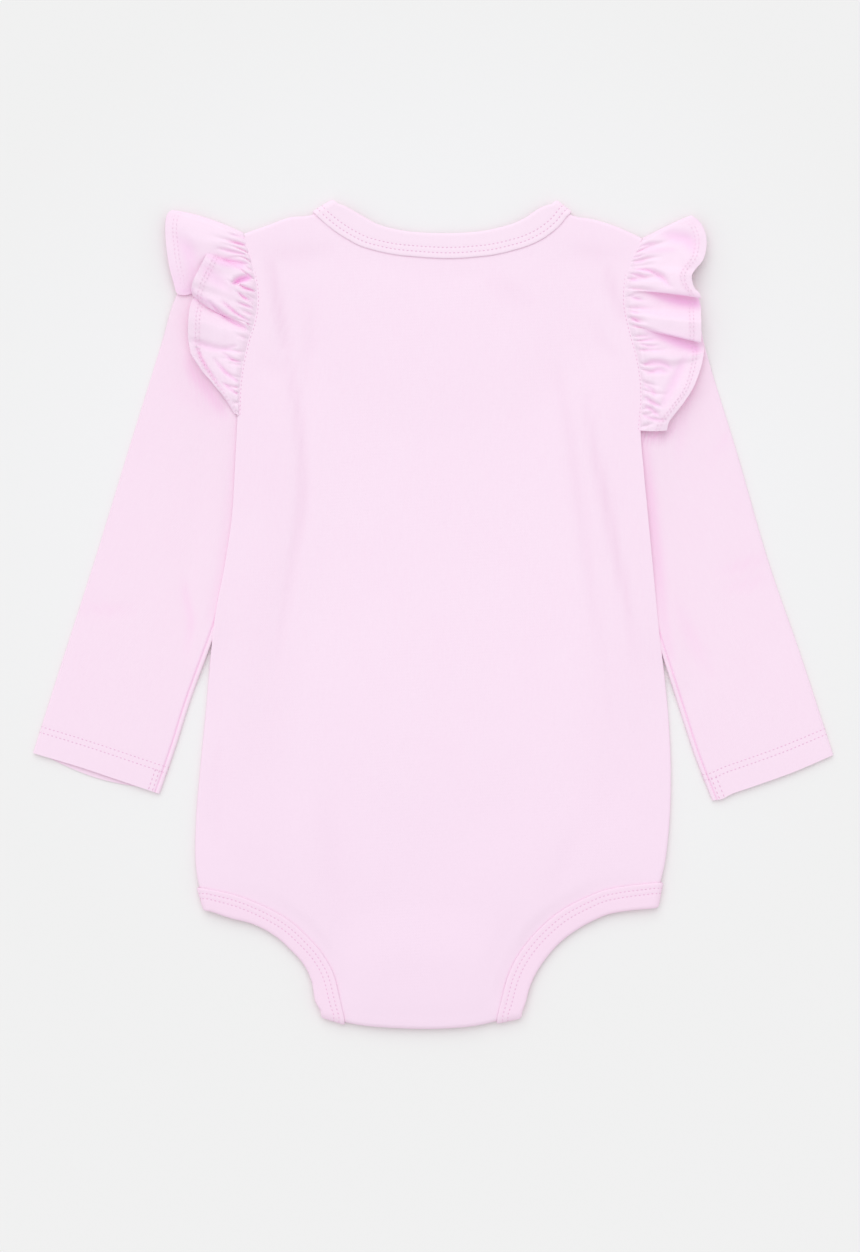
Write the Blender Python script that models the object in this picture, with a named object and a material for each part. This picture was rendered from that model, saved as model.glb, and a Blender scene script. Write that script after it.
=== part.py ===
"""Baby bodysuit with long sleeves and shoulder ruffles, laid flat on its front.

Sizes below are in millimetres; meshes are written in metres. Seen from above, the back is on top:
+X to the right, +Y towards the neck, +Z up from the surface it lies on. Every piece of cloth is
the middle surface of a wall, given its thickness by Solidify. Tables hold one row for each section.
"""
import math

import bmesh
import bpy
import numpy as np

MM = 0.001
WALL = 1.0            # thickness of every cloth wall
GAP = 0.3             # clear space between two pieces at a seam
PITCH = WALL + GAP    # middle of one layer to the middle of the next
BAND = 3 * WALL + 2 * GAP   # a binding folded round a panel's edge
BAND_OUT = BAND / 2         # from a binding's middle to its outside
TUCK = 3.6            # how far inside the bound edge a panel stops
SEAM_OPEN = 0.6       # between the two panels' rims at the middle of a rolled fold
LOW = 1.8             # middle height of a front edge in its binding
HIGH = 5.7            # middle height of a back edge folded over a front one
FOLD_RADIUS = (HIGH - LOW) / 2
FOLD_HEIGHT = (HIGH + LOW) / 2
BACK_REST = 1.8       # middle height of the back panel over the bare front panel
FRONT_REST = 0.5      # middle height of the front panel on the surface
FLAP_REST = 0.5
TURN_STEPS = 3        # cloth faces round a rolled edge
CROTCH_TURNS = [150, 120, 90, 60, 30]   # sections round the crotch fold, in degrees
ARMHOLE_GAP = 0.5
BESIDE_SEAM = 1.5     # from a binding's seam to the panel's first line outside it

CLOTH = (0.965, 0.775, 0.905)
BINDING = (0.945, 0.735, 0.880)
STUD = (0.900, 0.860, 0.880)

# Neck binding: bound edge, seam edge and middle height, from the left shoulder to the right one.
NECK_BACK = [
    # edge x, edge y, seam x, seam y, height
    (-57.4, 213.2, -68.2, 206.3, 5.7),
    (-50.4, 208.9, -60.9, 200.0, 5.5),
    (-43.5, 205.3, -53.0, 194.5, 5.1),
    (-33.0, 200.1, -40.0, 188.4, 4.6),
    (-17.5, 197.2, -21.0, 184.5, 4.0),
    (0.4, 196.8, 0.6, 183.6, 3.8),
    (18.6, 198.2, 22.0, 186.0, 4.0),
    (33.1, 201.7, 38.9, 190.4, 4.6),
    (42.0, 205.6, 49.5, 195.2, 5.1),
    (50.2, 211.3, 59.2, 202.0, 5.5),
    (58.2, 216.0, 66.6, 209.8, 5.7),
]
NECK_FRONT = [
    # edge x, edge y, seam x, seam y, height
    (58.2, 216.0, 66.6, 209.8, 1.8),
    (51.5, 204.0, 62.4, 198.2, 1.8),
    (47.2, 190.0, 59.9, 186.0, 1.8),
    (41.8, 176.0, 53.6, 169.8, 1.8),
    (31.0, 160.8, 39.5, 150.6, 1.8),
    (16.0, 150.3, 19.8, 137.7, 1.8),
    (0.0, 147.0, 0.0, 133.6, 1.8),
    (-16.0, 150.3, -19.8, 137.7, 1.8),
    (-31.0, 160.0, -39.5, 149.8, 1.8),
    (-41.8, 174.8, -53.6, 168.6, 1.8),
    (-47.0, 188.5, -59.7, 184.5, 1.8),
    (-51.0, 202.0, -62.6, 196.2, 1.8),
    (-57.4, 213.2, -68.2, 206.3, 1.8),
]
# Leg bindings on the back panel, from the side fold down to the crotch fold.
LEG_BACK = {
    "left": [
        # edge x, edge y, seam x, seam y, height
        (-114.5, -158.8, -118.6, -146.6, 5.7),
        (-100.7, -161.7, -100.9, -148.9, 5.7),
        (-88.0, -164.8, -85.0, -154.3, 5.3),
        (-76.5, -170.9, -70.4, -161.8, 4.9),
        (-68.7, -177.6, -60.5, -170.1, 4.8),
        (-62.3, -184.3, -52.5, -178.7, 5.0),
        (-57.6, -193.0, -46.1, -189.4, 5.4),
        (-55.1, -203.4, -42.3, -202.2, 5.7),
        (-52.6, -212.0, -40.0, -215.6, 5.7),
    ],
    "right": [
        (121.3, -150.8, 123.6, -137.2, 5.7),
        (105.4, -152.2, 104.8, -139.2, 5.7),
        (95.7, -154.3, 93.5, -141.6, 5.7),
        (87.5, -158.0, 82.5, -146.4, 5.5),
        (79.2, -163.0, 71.5, -152.7, 5.1),
        (71.1, -169.5, 61.6, -161.2, 4.8),
        (64.3, -177.4, 53.7, -170.2, 4.8),
        (58.9, -185.9, 47.7, -179.6, 5.0),
        (55.7, -193.6, 43.8, -189.1, 5.4),
        (53.8, -201.4, 41.4, -199.0, 5.7),
        (52.3, -209.6, 39.3, -212.8, 5.7),
    ],
}
# Leg bindings on the front panel, from the side fold to the end of the tab; x is outward.
LEG_FRONT = [
    (100.0, -149.5, 101.5, -137.2, 1.8),
    (84.0, -146.5, 82.5, -134.3, 1.8),
    (68.0, -148.5, 63.5, -137.0, 1.8),
    (55.0, -154.5, 47.5, -144.7, 1.8),
    (44.0, -163.5, 34.0, -156.2, 1.8),
    (37.5, -174.5, 26.0, -170.2, 2.4),
    (36.2, -186.0, 24.0, -185.0, 3.1),
    (36.0, -201.0, 23.7, -201.0, 3.1),
]
# Leg bindings on the flap, from the crotch fold to the flap's end; x is outward.
LEG_FLAP = [
    (51.0, -195.0, 39.4, -195.5, 1.8),
    (50.5, -181.0, 39.0, -181.0, 1.8),
]
# Where the back panel starts to fold under, between the two leg bindings.
CROTCH_LINE = [(-30.0, -213.3), (-14.0, -214.1), (4.0, -214.1), (20.0, -212.9), (30.0, -211.4)]

# Shoulder outlines from the armhole to the neck binding.
SHOULDER = {
    "left": [(-104.0, 193.8), (-91.7, 198.3), (-80.0, 202.9)],
    "right": [(103.9, 197.0), (91.0, 202.4), (78.0, 206.2)],
}
# Side outlines from the leg binding up to the underarm, then up the armhole to the shoulder.
# Turn says how far the panel's edge rolls over: 1 meets the other panel, 0 lies flat.
SIDE = {
    "left": [
        # x, y, back height, front height, roll radius, back turn, front turn
        (-119.7, -133.0, 5.1, 1.5, 1.8, 1.0, 1.0),
        (-120.1, -112.0, 3.4, 0.8, 1.3, 1.0, 1.0),
        (-118.6, -84.0, 3.1, 0.6, 1.25, 1.0, 1.0),
        (-116.4, -52.0, 3.6, 0.5, 1.25, 0.95, 0.6),
        (-114.9, -26.0, 5.1, 0.5, 1.1, 0.85, 0.15),
        (-113.0, -4.0, 5.5, 0.5, 1.0, 0.8, 0.15),
        (-109.0, 20.0, 5.5, 0.5, 1.0, 0.8, 0.15),
        (-105.8, 46.0, 5.4, 0.5, 1.0, 0.8, 0.15),
        (-104.8, 74.0, 5.4, 0.5, 1.0, 0.8, 0.15),
        (-104.2, 98.0, 5.3, 0.6, 1.0, 0.7, 0.15),
        (-103.8, 117.5, 5.2, 0.8, 1.0, 0.4, 0.15),
        (-100.9, 135.6, 5.2, 1.0, 1.0, 0.3, 0.15),
        (-97.2, 149.0, 5.2, 1.1, 1.0, 0.3, 0.15),
        (-96.2, 161.0, 5.2, 1.2, 1.0, 0.3, 0.15),
        (-98.6, 175.0, 5.4, 1.5, 1.0, 0.3, 0.15),
        (-102.2, 186.5, 5.6, 1.7, 1.0, 0.3, 0.15),
    ],
    "right": [
        (124.6, -125.0, 5.1, 1.5, 1.8, 1.0, 1.0),
        (126.2, -104.0, 3.4, 0.8, 1.3, 1.0, 1.0),
        (126.2, -80.0, 3.1, 0.6, 1.25, 1.0, 1.0),
        (124.4, -54.0, 3.6, 0.5, 1.25, 0.95, 0.6),
        (121.3, -29.0, 5.1, 0.5, 1.1, 0.85, 0.15),
        (117.8, -5.0, 5.5, 0.5, 1.0, 0.8, 0.15),
        (114.0, 25.0, 5.5, 0.5, 1.0, 0.8, 0.15),
        (110.6, 52.0, 5.4, 0.5, 1.0, 0.8, 0.15),
        (107.6, 76.0, 5.4, 0.5, 1.0, 0.8, 0.15),
        (105.4, 98.0, 5.3, 0.6, 1.0, 0.7, 0.15),
        (106.3, 117.5, 5.2, 0.8, 1.0, 0.4, 0.15),
        (103.6, 134.5, 5.2, 1.0, 1.0, 0.3, 0.15),
        (99.2, 149.0, 5.2, 1.1, 1.0, 0.3, 0.15),
        (96.0, 163.0, 5.2, 1.2, 1.0, 0.3, 0.15),
        (96.6, 178.0, 5.4, 1.5, 1.0, 0.3, 0.15),
        (100.4, 190.0, 5.6, 1.7, 1.0, 0.3, 0.15),
    ],
}
# What lies between the panels lifts the back one. Points along the middle of each hidden form;
# reach is its half width, lift the height that it adds.
UNDER_BACK = [
    # each form: rows of x, y, reach, lift
    [(-62, 205, 12, 2.9), (-55, 186, 12, 2.9), (-48, 170, 12, 2.9), (-35, 155, 12, 2.9),
     (-18, 144, 12, 2.9), (0, 140, 12, 2.9), (18, 144, 12, 2.9), (35, 156, 12, 2.9),
     (48, 171, 12, 2.9), (55, 187, 12, 2.9), (62, 206, 12, 2.9)],
    [(-94, 88, 12, 3.5), (-97, 60, 13, 3.6), (-102, 28, 12, 3.7), (-107, 0, 9, 3.7),
     (-112, -24, 5, 3.3)],
    [(95, 88, 12, 3.5), (100, 60, 13, 3.6), (106, 28, 12, 3.7), (112, -2, 9, 3.7),
     (117, -26, 5, 3.3)],
    [(-110, -146, 13, 3.2), (-84, -140, 12, 3.2), (-66, -143, 12, 3.2), (-50, -150, 12, 3.3),
     (-38, -160, 12, 3.5), (-30, -174, 12, 3.9), (-28, -205, 13, 4.0)],
    [(112, -140, 13, 3.2), (84, -140, 12, 3.2), (66, -143, 12, 3.2), (50, -150, 12, 3.3),
     (38, -160, 12, 3.5), (30, -174, 12, 3.9), (28, -205, 13, 4.0)],
    [(-20, -190, 16, 3.9), (20, -190, 16, 3.9)],
]
UNDER_FRONT = [[(-24, -194, 19, 2.6), (24, -194, 19, 2.6)]]
BACK_FADE = 24.0      # how far a hidden form's lift takes to die away
FRONT_FADE = 15.0

# Columns of a panel across the body, as parts of each stretch of its top and of its bottom.
SHOULDER_COLUMNS = 5
NECK_COLUMNS = np.linspace(0, 1, 17)
BACK_LEG_COLUMNS = [0.0, 0.18, 0.36, 0.53, 0.655, 0.765, 0.868, 1.0]
FRONT_LEG_COLUMNS = [0.0, 0.16, 0.31, 0.46, 0.57, 0.65, 0.71, 0.768]
TAB_PARTS = [0.84, 0.92, 1.0]    # the tab's rows, as parts of the leg binding's front
# Columns of the flap and tab, out from the middle: stud seat, its end, tab binding, flap binding.
CROTCH_SPANS = [0.0, 19.4, 24.5, 35.6, 37.4]
# Rows of a panel up the body, as parts of its side.
PANEL_ROWS = [0.0, 0.035, 0.075, 0.13, 0.20, 0.28, 0.36, 0.44, 0.52, 0.60, 0.68, 0.74, 0.80, 0.855,
              0.91, 0.957, 1.0]
FLAP_PARTS = [0.22, 0.6, 1.0]   # the flap's rows, from the crotch fold to its end

# Sleeves: outer fold and inner fold from the armhole to the cuff, then the cuff's edge.
SLEEVE = {
    "left": {
        "outer": [(-105.4, 190.6), (-117.0, 187.5), (-129.5, 175.0), (-138.4, 158.5),
                  (-144.1, 137.5), (-160.2, 80.0), (-176.3, 22.2), (-191.0, -28.0), (-205.7, -78.9)],
        "inner": [(-84.0, 78.0), (-93.0, 50.0), (-103.5, 15.0), (-113.8, -17.7),
                  (-124.4, -49.2), (-131.5, -74.0), (-139.2, -98.4)],
        "cuff": [(-205.7, -78.9), (-181.0, -85.6), (-160.0, -92.0), (-139.2, -98.4)],
        "armhole": [(-105.4, 190.6), (-102.6, 183.0), (-98.8, 172.0), (-96.6, 161.0),
                    (-97.7, 149.0), (-101.4, 135.6), (-104.4, 117.5), (-104.6, 100.0),
                    (-97.0, 88.0), (-84.0, 78.0)],
    },
    "right": {
        "outer": [(105.3, 193.8), (116.0, 190.0), (127.5, 175.0), (133.5, 158.0),
                  (138.0, 140.0), (155.5, 88.0), (173.5, 31.8), (191.5, -16.0), (210.3, -68.4)],
        "inner": [(84.0, 78.0), (95.0, 48.0), (107.0, 15.0), (118.7, -16.5),
                  (128.6, -44.5), (138.0, -70.8), (147.8, -93.9)],
        "cuff": [(210.3, -68.4), (190.0, -77.6), (168.0, -86.4), (147.8, -93.9)],
        "armhole": [(105.3, 193.8), (100.8, 187.0), (97.2, 176.0), (96.5, 163.0), (99.8, 149.0),
                    (104.2, 134.5), (106.9, 117.5), (105.9, 100.0), (98.0, 88.0), (84.0, 78.0)],
    },
}
HEAD_RADIUS = 0.65     # roll at a sleeve's two folds, under the ruffle
SLEEVE_RADIUS = 1.1    # and along the arm
SLEEVE_STATIONS = [0.0, 0.03, 0.07, 0.12, 0.18, 0.25, 0.32, 0.40, 0.50, 0.60, 0.70, 0.80, 0.90, 1.0]
SLEEVE_COLUMNS = 8
SLEEVE_REST = 0.5
# What a sleeve's lower layer lies on: the front ruffle near the armhole and the front panel.
UNDER_SLEEVE = {
    "left": [[(-106, 186, 16, 2.2), (-116, 170, 26, 2.2), (-114, 145, 22, 2.2), (-110, 116, 8, 2.0)],
             [(-94, 96, 16, 1.3), (-97, 60, 14, 1.3), (-102, 28, 13, 1.3), (-108, 0, 11, 1.3),
              (-112, -28, 8, 1.3)]],
    "right": [[(106, 188, 16, 2.2), (115, 172, 26, 2.2), (116, 145, 22, 2.2), (113, 114, 10, 2.0)],
              [(95, 96, 16, 1.3), (100, 60, 14, 1.3), (105, 28, 14, 1.3), (112, 0, 12, 1.3),
               (117, -28, 9, 1.3)]],
}
SLEEVE_FADE = 12.0

# Ruffles: hem from the back end, up over the shoulder and down the front, with the height of the
# seam under each point. The back part stands in flares, the front part is pressed flat.
RUFFLE_SEAM = {
    "left": [(-104.9, 101.0), (-104.4, 117.5), (-101.4, 135.6), (-98.2, 149.0), (-97.2, 161.0),
             (-99.2, 173.0), (-102.2, 184.0), (-104.6, 193.0)],
    "right": [(106.0, 98.0), (106.9, 117.5), (104.2, 134.5), (99.8, 149.0), (96.5, 163.0),
              (97.2, 178.0), (100.6, 188.0), (104.5, 196.0)],
}
RUFFLE_BACK = {
    "left": [
        # part of the seam, hem x, hem y, hem height, swell of the middle
        (0.00, -106.2, 101.5, 5.6, 0.0),
        (0.07, -109.8, 106.5, 6.8, 0.4),
        (0.15, -115.6, 114.7, 8.2, 1.0),
        (0.23, -121.6, 124.2, 8.6, 1.4),
        (0.30, -124.8, 129.8, 7.4, 0.6),
        (0.35, -123.0, 132.6, 5.9, -0.4),
        (0.38, -127.0, 134.0, 6.0, 0.0),
        (0.42, -129.8, 137.0, 8.2, 1.2),
        (0.47, -130.3, 143.0, 9.6, 2.2),
        (0.53, -130.3, 151.0, 9.4, 2.2),
        (0.58, -129.6, 157.6, 7.6, 0.8),
        (0.615, -125.0, 159.6, 6.0, -0.6),
        (0.645, -127.6, 161.4, 7.6, 0.6),
        (0.68, -129.0, 165.2, 10.4, 2.4),
        (0.73, -126.8, 171.0, 10.8, 2.4),
        (0.78, -124.2, 177.6, 9.4, 1.0),
        (0.82, -126.6, 176.0, 6.6, -0.8),
        (0.845, -131.6, 163.6, 5.7, -0.4),
        (0.87, -136.2, 161.8, 6.0, 0.4),
        (0.90, -139.0, 166.8, 8.2, 1.6),
        (0.93, -141.8, 177.0, 9.8, 2.6),
        (0.96, -143.6, 189.0, 10.2, 2.6),
        (0.985, -143.8, 197.5, 9.0, 1.6),
    ],
    "right": [
        (0.00, 107.6, 98.4, 5.6, 0.0),
        (0.03, 113.0, 97.8, 7.2, 0.4),
        (0.06, 118.0, 98.4, 8.8, 0.8),
        (0.10, 119.6, 101.6, 9.2, 1.4),
        (0.16, 123.0, 106.4, 9.2, 1.4),
        (0.23, 127.3, 112.4, 9.6, 1.0),
        (0.30, 131.4, 119.6, 9.4, 1.0),
        (0.37, 134.0, 126.0, 9.0, 2.2),
        (0.43, 136.0, 134.8, 8.4, 2.4),
        (0.47, 136.0, 140.0, 6.8, 0.8),
        (0.50, 132.4, 142.2, 5.8, -0.6),
        (0.53, 135.0, 144.6, 8.4, 1.0),
        (0.57, 134.4, 149.0, 10.4, 2.6),
        (0.62, 134.5, 156.5, 10.2, 2.6),
        (0.66, 133.8, 162.0, 8.2, 0.8),
        (0.69, 130.0, 164.0, 6.0, -0.6),
        (0.72, 133.2, 166.6, 8.8, 1.2),
        (0.755, 130.8, 171.0, 8.6, 2.6),
        (0.80, 129.2, 176.8, 6.8, 3.6),
        (0.85, 131.2, 181.2, 6.8, 3.8),
        (0.90, 135.4, 187.4, 8.6, 3.0),
        (0.94, 136.6, 194.6, 9.8, 2.6),
        (0.98, 135.2, 201.6, 9.0, 1.8),
    ],
}
RUFFLE_TOP = {"left": (-140.8, 203.6), "right": (129.5, 208.6)}
RUFFLE_FRONT = {
    "left": [
        # part of the seam, hem x, hem y, hem height, swell of the middle
        (0.97, -143.0, 197.0, 0.9, 0.3),
        (0.90, -142.4, 184.0, 0.5, 0.4),
        (0.78, -138.6, 168.0, 0.5, 0.4),
        (0.64, -133.0, 152.0, 0.5, 0.4),
        (0.48, -126.4, 136.0, 0.5, 0.4),
        (0.30, -118.0, 120.0, 0.5, 0.4),
        (0.14, -110.0, 108.0, 0.5, 0.2),
        (0.00, -106.2, 101.5, 0.5, 0.0),
    ],
    "right": [
        (0.97, 135.4, 200.0, 0.9, 0.3),
        (0.90, 135.8, 186.0, 0.5, 0.4),
        (0.78, 134.0, 170.0, 0.5, 0.4),
        (0.64, 131.4, 153.0, 0.5, 0.4),
        (0.48, 127.0, 136.0, 0.5, 0.4),
        (0.30, 121.6, 120.0, 0.5, 0.4),
        (0.14, 114.8, 108.0, 0.5, 0.2),
        (0.00, 107.6, 98.4, 0.5, 0.0),
    ],
}
RUFFLE_ACROSS = [0.0, 0.12, 0.3, 0.52, 0.76, 1.0]
RUFFLE_SEAM_HIGH = 5.3
RUFFLE_SEAM_LOW = 1.2  # height of the front ruffle's seam, above its end
RUFFLE_END_LOW = 0.5   # and at its end
RUFFLE_END = 0.3       # part of the seam over which it comes down
RUFFLE_RIBS = {"back": 46, "front": 10}
RUFFLE_SPRING = 0.6    # how soon a flare's height grows from the seam: under 1 is soon

# Press studs that hold the flap to the tab.
STUD_PLACES = [(-14.0, -191.0), (0.0, -191.0), (14.0, -191.0)]
STUD_HOLE = 2.6
STUD_PROFILE = [
    # radius, height: cap on the surface, post through flap and tab, ring inside
    (0.0, 0.0), (4.3, 0.0), (4.7, 0.3), (4.4, 0.6), (2.2, 0.6), (2.2, 3.9), (4.2, 3.9), (4.2, 4.4),
    (3.6, 4.6), (0.0, 4.6),
]
STUD_SIDES = 14
STUD_SEAT = 0.9        # lift of the flap over a stud's cap

SIGN = {"left": -1.0, "right": 1.0}


def clear_scene():
    for old in list(bpy.data.objects):
        bpy.data.objects.remove(old, do_unlink=True)


def material(name, colour, roughness):
    made = bpy.data.materials.new(name)
    made.use_nodes = True
    surface = made.node_tree.nodes["Principled BSDF"]
    surface.inputs["Base Color"].default_value = (*colour, 1.0)
    surface.inputs["Roughness"].default_value = roughness
    surface.inputs["Metallic"].default_value = 0.0
    return made


def smooth(rows, parts):
    """Rows read as one smooth curve, at each of `parts`, 0 to 1 of its length in plan."""
    rows = np.array(rows, float)
    step = np.linalg.norm(np.diff(rows[:, :2], axis=0), axis=1)
    at = np.concatenate([[0.0], np.cumsum(np.maximum(step, 1e-6))])
    pace = np.diff(rows, axis=0) / np.diff(at)[:, None]
    slope = np.vstack([pace[:1], (rows[2:] - rows[:-2]) / (at[2:] - at[:-2])[:, None], pace[-1:]])
    before, after = pace[:-1, 2:], pace[1:, 2:]
    # heights and other values never swing past their rows
    slope[1:-1, 2:] = np.where(before * after > 0, 2 * before * after / (before + after + 1e-12), 0)
    fine = np.linspace(0, at[-1], 40 * len(rows))
    k = np.clip(np.searchsorted(at, fine, side="right") - 1, 0, len(rows) - 2)
    span = (at[k + 1] - at[k])[:, None]
    t = ((fine - at[k]) / span[:, 0])[:, None]
    points = ((2 * t**3 - 3 * t**2 + 1) * rows[k] + (t**3 - 2 * t**2 + t) * span * slope[k]
              + (3 * t**2 - 2 * t**3) * rows[k + 1] + (t**3 - t**2) * span * slope[k + 1])
    run = np.concatenate([[0.0], np.cumsum(np.linalg.norm(np.diff(points[:, :2], axis=0), axis=1))])
    wanted = np.asarray(parts, float) * run[-1]
    return np.column_stack([np.interp(wanted, run, points[:, c]) for c in range(rows.shape[1])])


def ease(x):
    x = np.clip(x, 0.0, 1.0)
    return x * x * (3 - 2 * x)


def unit(v):
    return v / np.maximum(np.linalg.norm(v, axis=-1, keepdims=True), 1e-9)


def lift(x, y, forms, fade):
    """Height added at (x, y) by the hidden forms, each a row of overlapping discs."""
    total = np.zeros(np.shape(x))
    for form in forms:
        for fx, fy, reach, height in smooth(form, np.linspace(0, 1, 6 * len(form))):
            away = np.hypot(x - fx, y - fy) - reach
            total = np.maximum(total, height * ease(1 - away / fade))
    return total


def outward(points):
    """Unit normals of a plan curve, to the left of its direction."""
    along = np.gradient(points[:, :2], axis=0)
    return unit(np.column_stack([-along[:, 1], along[:, 0]]))


def fold_axis(row, away_from):
    """A binding's section at a fold, moved in so that the folded binding ends at the row."""
    edge, seam = np.array(row[:2], float), np.array(row[2:4], float)
    across = unit(seam - edge)
    out = np.array([-across[1], across[0]])
    if np.dot(out, edge - np.array(away_from)) < 0:
        out = -out
    inset = FOLD_RADIUS + BAND_OUT
    return np.concatenate([edge - inset * out, seam - inset * out, row[4:5]]), out


MIDDLE = (0.0, 0.0)


def neck_rows():
    """The neck binding's rows with its two shoulder folds moved in, and the folds' directions."""
    left, left_out = fold_axis(NECK_BACK[0], MIDDLE)
    right, right_out = fold_axis(NECK_BACK[-1], MIDDLE)
    back = [left, *NECK_BACK[1:-1], right]
    front = [(*right[:4], LOW), *NECK_FRONT[1:-1], (*left[:4], LOW)]
    return back, front, left_out, right_out


def leg_rows(side):
    """A leg binding's rows: back leg, front leg and flap, with its folds' directions."""
    table = LEG_BACK[side]
    corner, side_out = fold_axis(table[0], MIDDLE)
    crotch, crotch_out = fold_axis(table[-1], MIDDLE)
    s = SIGN[side]
    front = [(*corner[:4], LOW)] + [(s * a, b, s * c, d, h) for a, b, c, d, h in LEG_FRONT]
    flap = [(*crotch[:4], LOW)] + [(s * a, b, s * c, d, h) for a, b, c, d, h in LEG_FLAP]
    return [corner, *table[1:-1], crotch], front, flap, side_out, crotch_out


def tucked(rows):
    """Where a panel's edge lies inside a binding: x, y, height."""
    rows = np.array(rows, float)
    across = unit(rows[:, 2:4] - rows[:, :2])
    return np.column_stack([rows[:, :2] + TUCK * across, rows[:, 4]])


# ---- meshes ----

def new_object(name, verts, faces, finish, thickness=None):
    mesh = bpy.data.meshes.new(name)
    mesh.from_pydata([tuple(float(c) * MM for c in v) for v in verts], [], faces)
    work = bmesh.new()
    work.from_mesh(mesh)
    bmesh.ops.recalc_face_normals(work, faces=work.faces)
    work.to_mesh(mesh)
    work.free()
    mesh.materials.append(finish)
    mesh.shade_smooth()
    made = bpy.data.objects.new(name, mesh)
    bpy.context.scene.collection.objects.link(made)
    if thickness:
        wall = made.modifiers.new("Wall", "SOLIDIFY")
        wall.thickness = thickness * MM
        wall.offset = 0.0
    return made


def sheet(name, grid, finish, closed=False):
    """A cloth wall on a grid of points; a missing point is NaN, closed joins the last column."""
    grid = np.asarray(grid, float)
    rows, columns = grid.shape[:2]
    there = ~np.isnan(grid[:, :, 0])
    index = -np.ones((rows, columns), int)
    index[there] = np.arange(there.sum())
    faces = []
    for i in range(rows - 1):
        for j in range(columns if closed else columns - 1):
            corners = (index[i, j], index[i, (j + 1) % columns],
                       index[i + 1, (j + 1) % columns], index[i + 1, j])
            if min(corners) >= 0:
                faces.append(tuple(int(c) for c in corners))
    return new_object(name, grid[there], faces, finish, WALL)


# ---- bindings ----

def band_section(width):
    """A strip folded round an edge: (across from the fold, out from the middle)."""
    out, inside = BAND_OUT, BAND_OUT - WALL
    return [(width, out), (1.7, out), (0.5, 0.7 * out), (0.0, 0.0), (0.5, -0.7 * out), (1.7, -out),
            (width, -out), (width, -inside), (1.9, -inside), (1.4, 0.0), (1.9, inside),
            (width, inside)]


def flat_sections(rows, count, up):
    """Sections of a binding along a flat stretch; up is 1 on the back, -1 on the front."""
    found = []
    for ex, ey, sx, sy, z in smooth(rows, np.linspace(0, 1, count)):
        found.append((np.array([ex, ey, z]), np.array([sx - ex, sy - ey, 0.0]),
                      np.array([0.0, 0.0, up])))
    return found


def fold_sections(row, out, to_front):
    """Sections round a fold, from the back to the front or the other way."""
    edge = np.array([row[0], row[1], FOLD_HEIGHT])
    across = np.array([row[2] - row[0], row[3] - row[1], 0.0])
    turns = [math.radians(a) for a in (30, 60, 90, 120, 150)]
    found = []
    for turn in turns if to_front else turns[::-1]:
        normal = np.array([math.sin(turn) * out[0], math.sin(turn) * out[1], math.cos(turn)])
        found.append((edge + FOLD_RADIUS * normal, across, normal))
    return found


def binding(name, sections, finish, ring):
    verts, faces = [], []
    for edge, across, normal in sections:
        width = float(np.linalg.norm(across))
        for w, n in band_section(width):
            verts.append(edge + across / width * w + normal * n)
    size, count = len(band_section(1.0)), len(sections)
    for i in range(count if ring else count - 1):
        here, there = i * size, (i + 1) % count * size
        for j in range(size):
            k = (j + 1) % size
            faces.append((here + j, here + k, there + k, there + j))
    if not ring:
        last = (count - 1) * size
        for start in (0, last):
            # the two walls and the fold of the end, as quads
            for a, b, c, d in ((0, 1, 10, 11), (1, 2, 9, 10), (5, 6, 7, 8), (4, 5, 8, 9)):
                faces.append((start + a, start + b, start + c, start + d))
            faces.append((start + 2, start + 3, start + 9))
            faces.append((start + 3, start + 4, start + 9))
    return new_object(name, verts, faces, finish)


def make_neck(finish):
    back, front, left_out, right_out = neck_rows()
    sections = flat_sections(back, 23, 1.0)
    sections += fold_sections(back[-1], right_out, True)
    sections += flat_sections(front, 27, -1.0)
    sections += fold_sections(back[0], left_out, False)
    return binding("neck_binding", sections, finish, True)


def make_leg(side, finish):
    back, front, flap, side_out, crotch_out = leg_rows(side)
    sections = flat_sections(flap[::-1], 4, -1.0)
    sections += fold_sections(back[-1], crotch_out, False)
    sections += flat_sections(back[::-1], 16, 1.0)
    sections += fold_sections(back[0], side_out, True)
    sections += flat_sections(front, 15, -1.0)
    return binding(f"leg_binding_{side}", sections, finish, False)


# ---- panels ----

def full_turn(radius):
    """The angle at which a rolled edge stops just short of the other panel's."""
    return np.arccos(SEAM_OPEN / 2 / np.asarray(radius, float))


def side_line(side, front):
    """A panel's side and armhole, bottom to top: base x, y, height, radius, turn, out x, out y."""
    back_leg = leg_rows(side)[0]
    corner = back_leg[0]
    rows = np.array(SIDE[side], float)
    out = outward(rows)
    if side == "right":
        out = -out
    height = rows[:, 3] if front else rows[:, 2]
    turn = rows[:, 6] if front else rows[:, 5]
    radius = rows[:, 4]
    full = full_turn(radius)
    spread = np.sin(turn * full)
    inset = (radius + WALL / 2) * spread + ARMHOLE_GAP * (1 - spread)
    base = rows[:, :2] - inset[:, None] * out
    body = np.column_stack([base, height, radius, turn, out])
    level = LOW if front else HIGH
    fold_out = leg_rows(side)[3]
    start = tucked([corner])[0]
    first = [start[0], start[1], level, FOLD_RADIUS, 1.0, *fold_out]
    second = [corner[2], corner[3], level, FOLD_RADIUS, 1.0, *fold_out]
    top = shoulder_line(side)[0]
    last = [top[0], top[1], level, 1.0, 0.3 if not front else 0.15, *out[-1]]
    return np.vstack([first, second, body, last])


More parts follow.
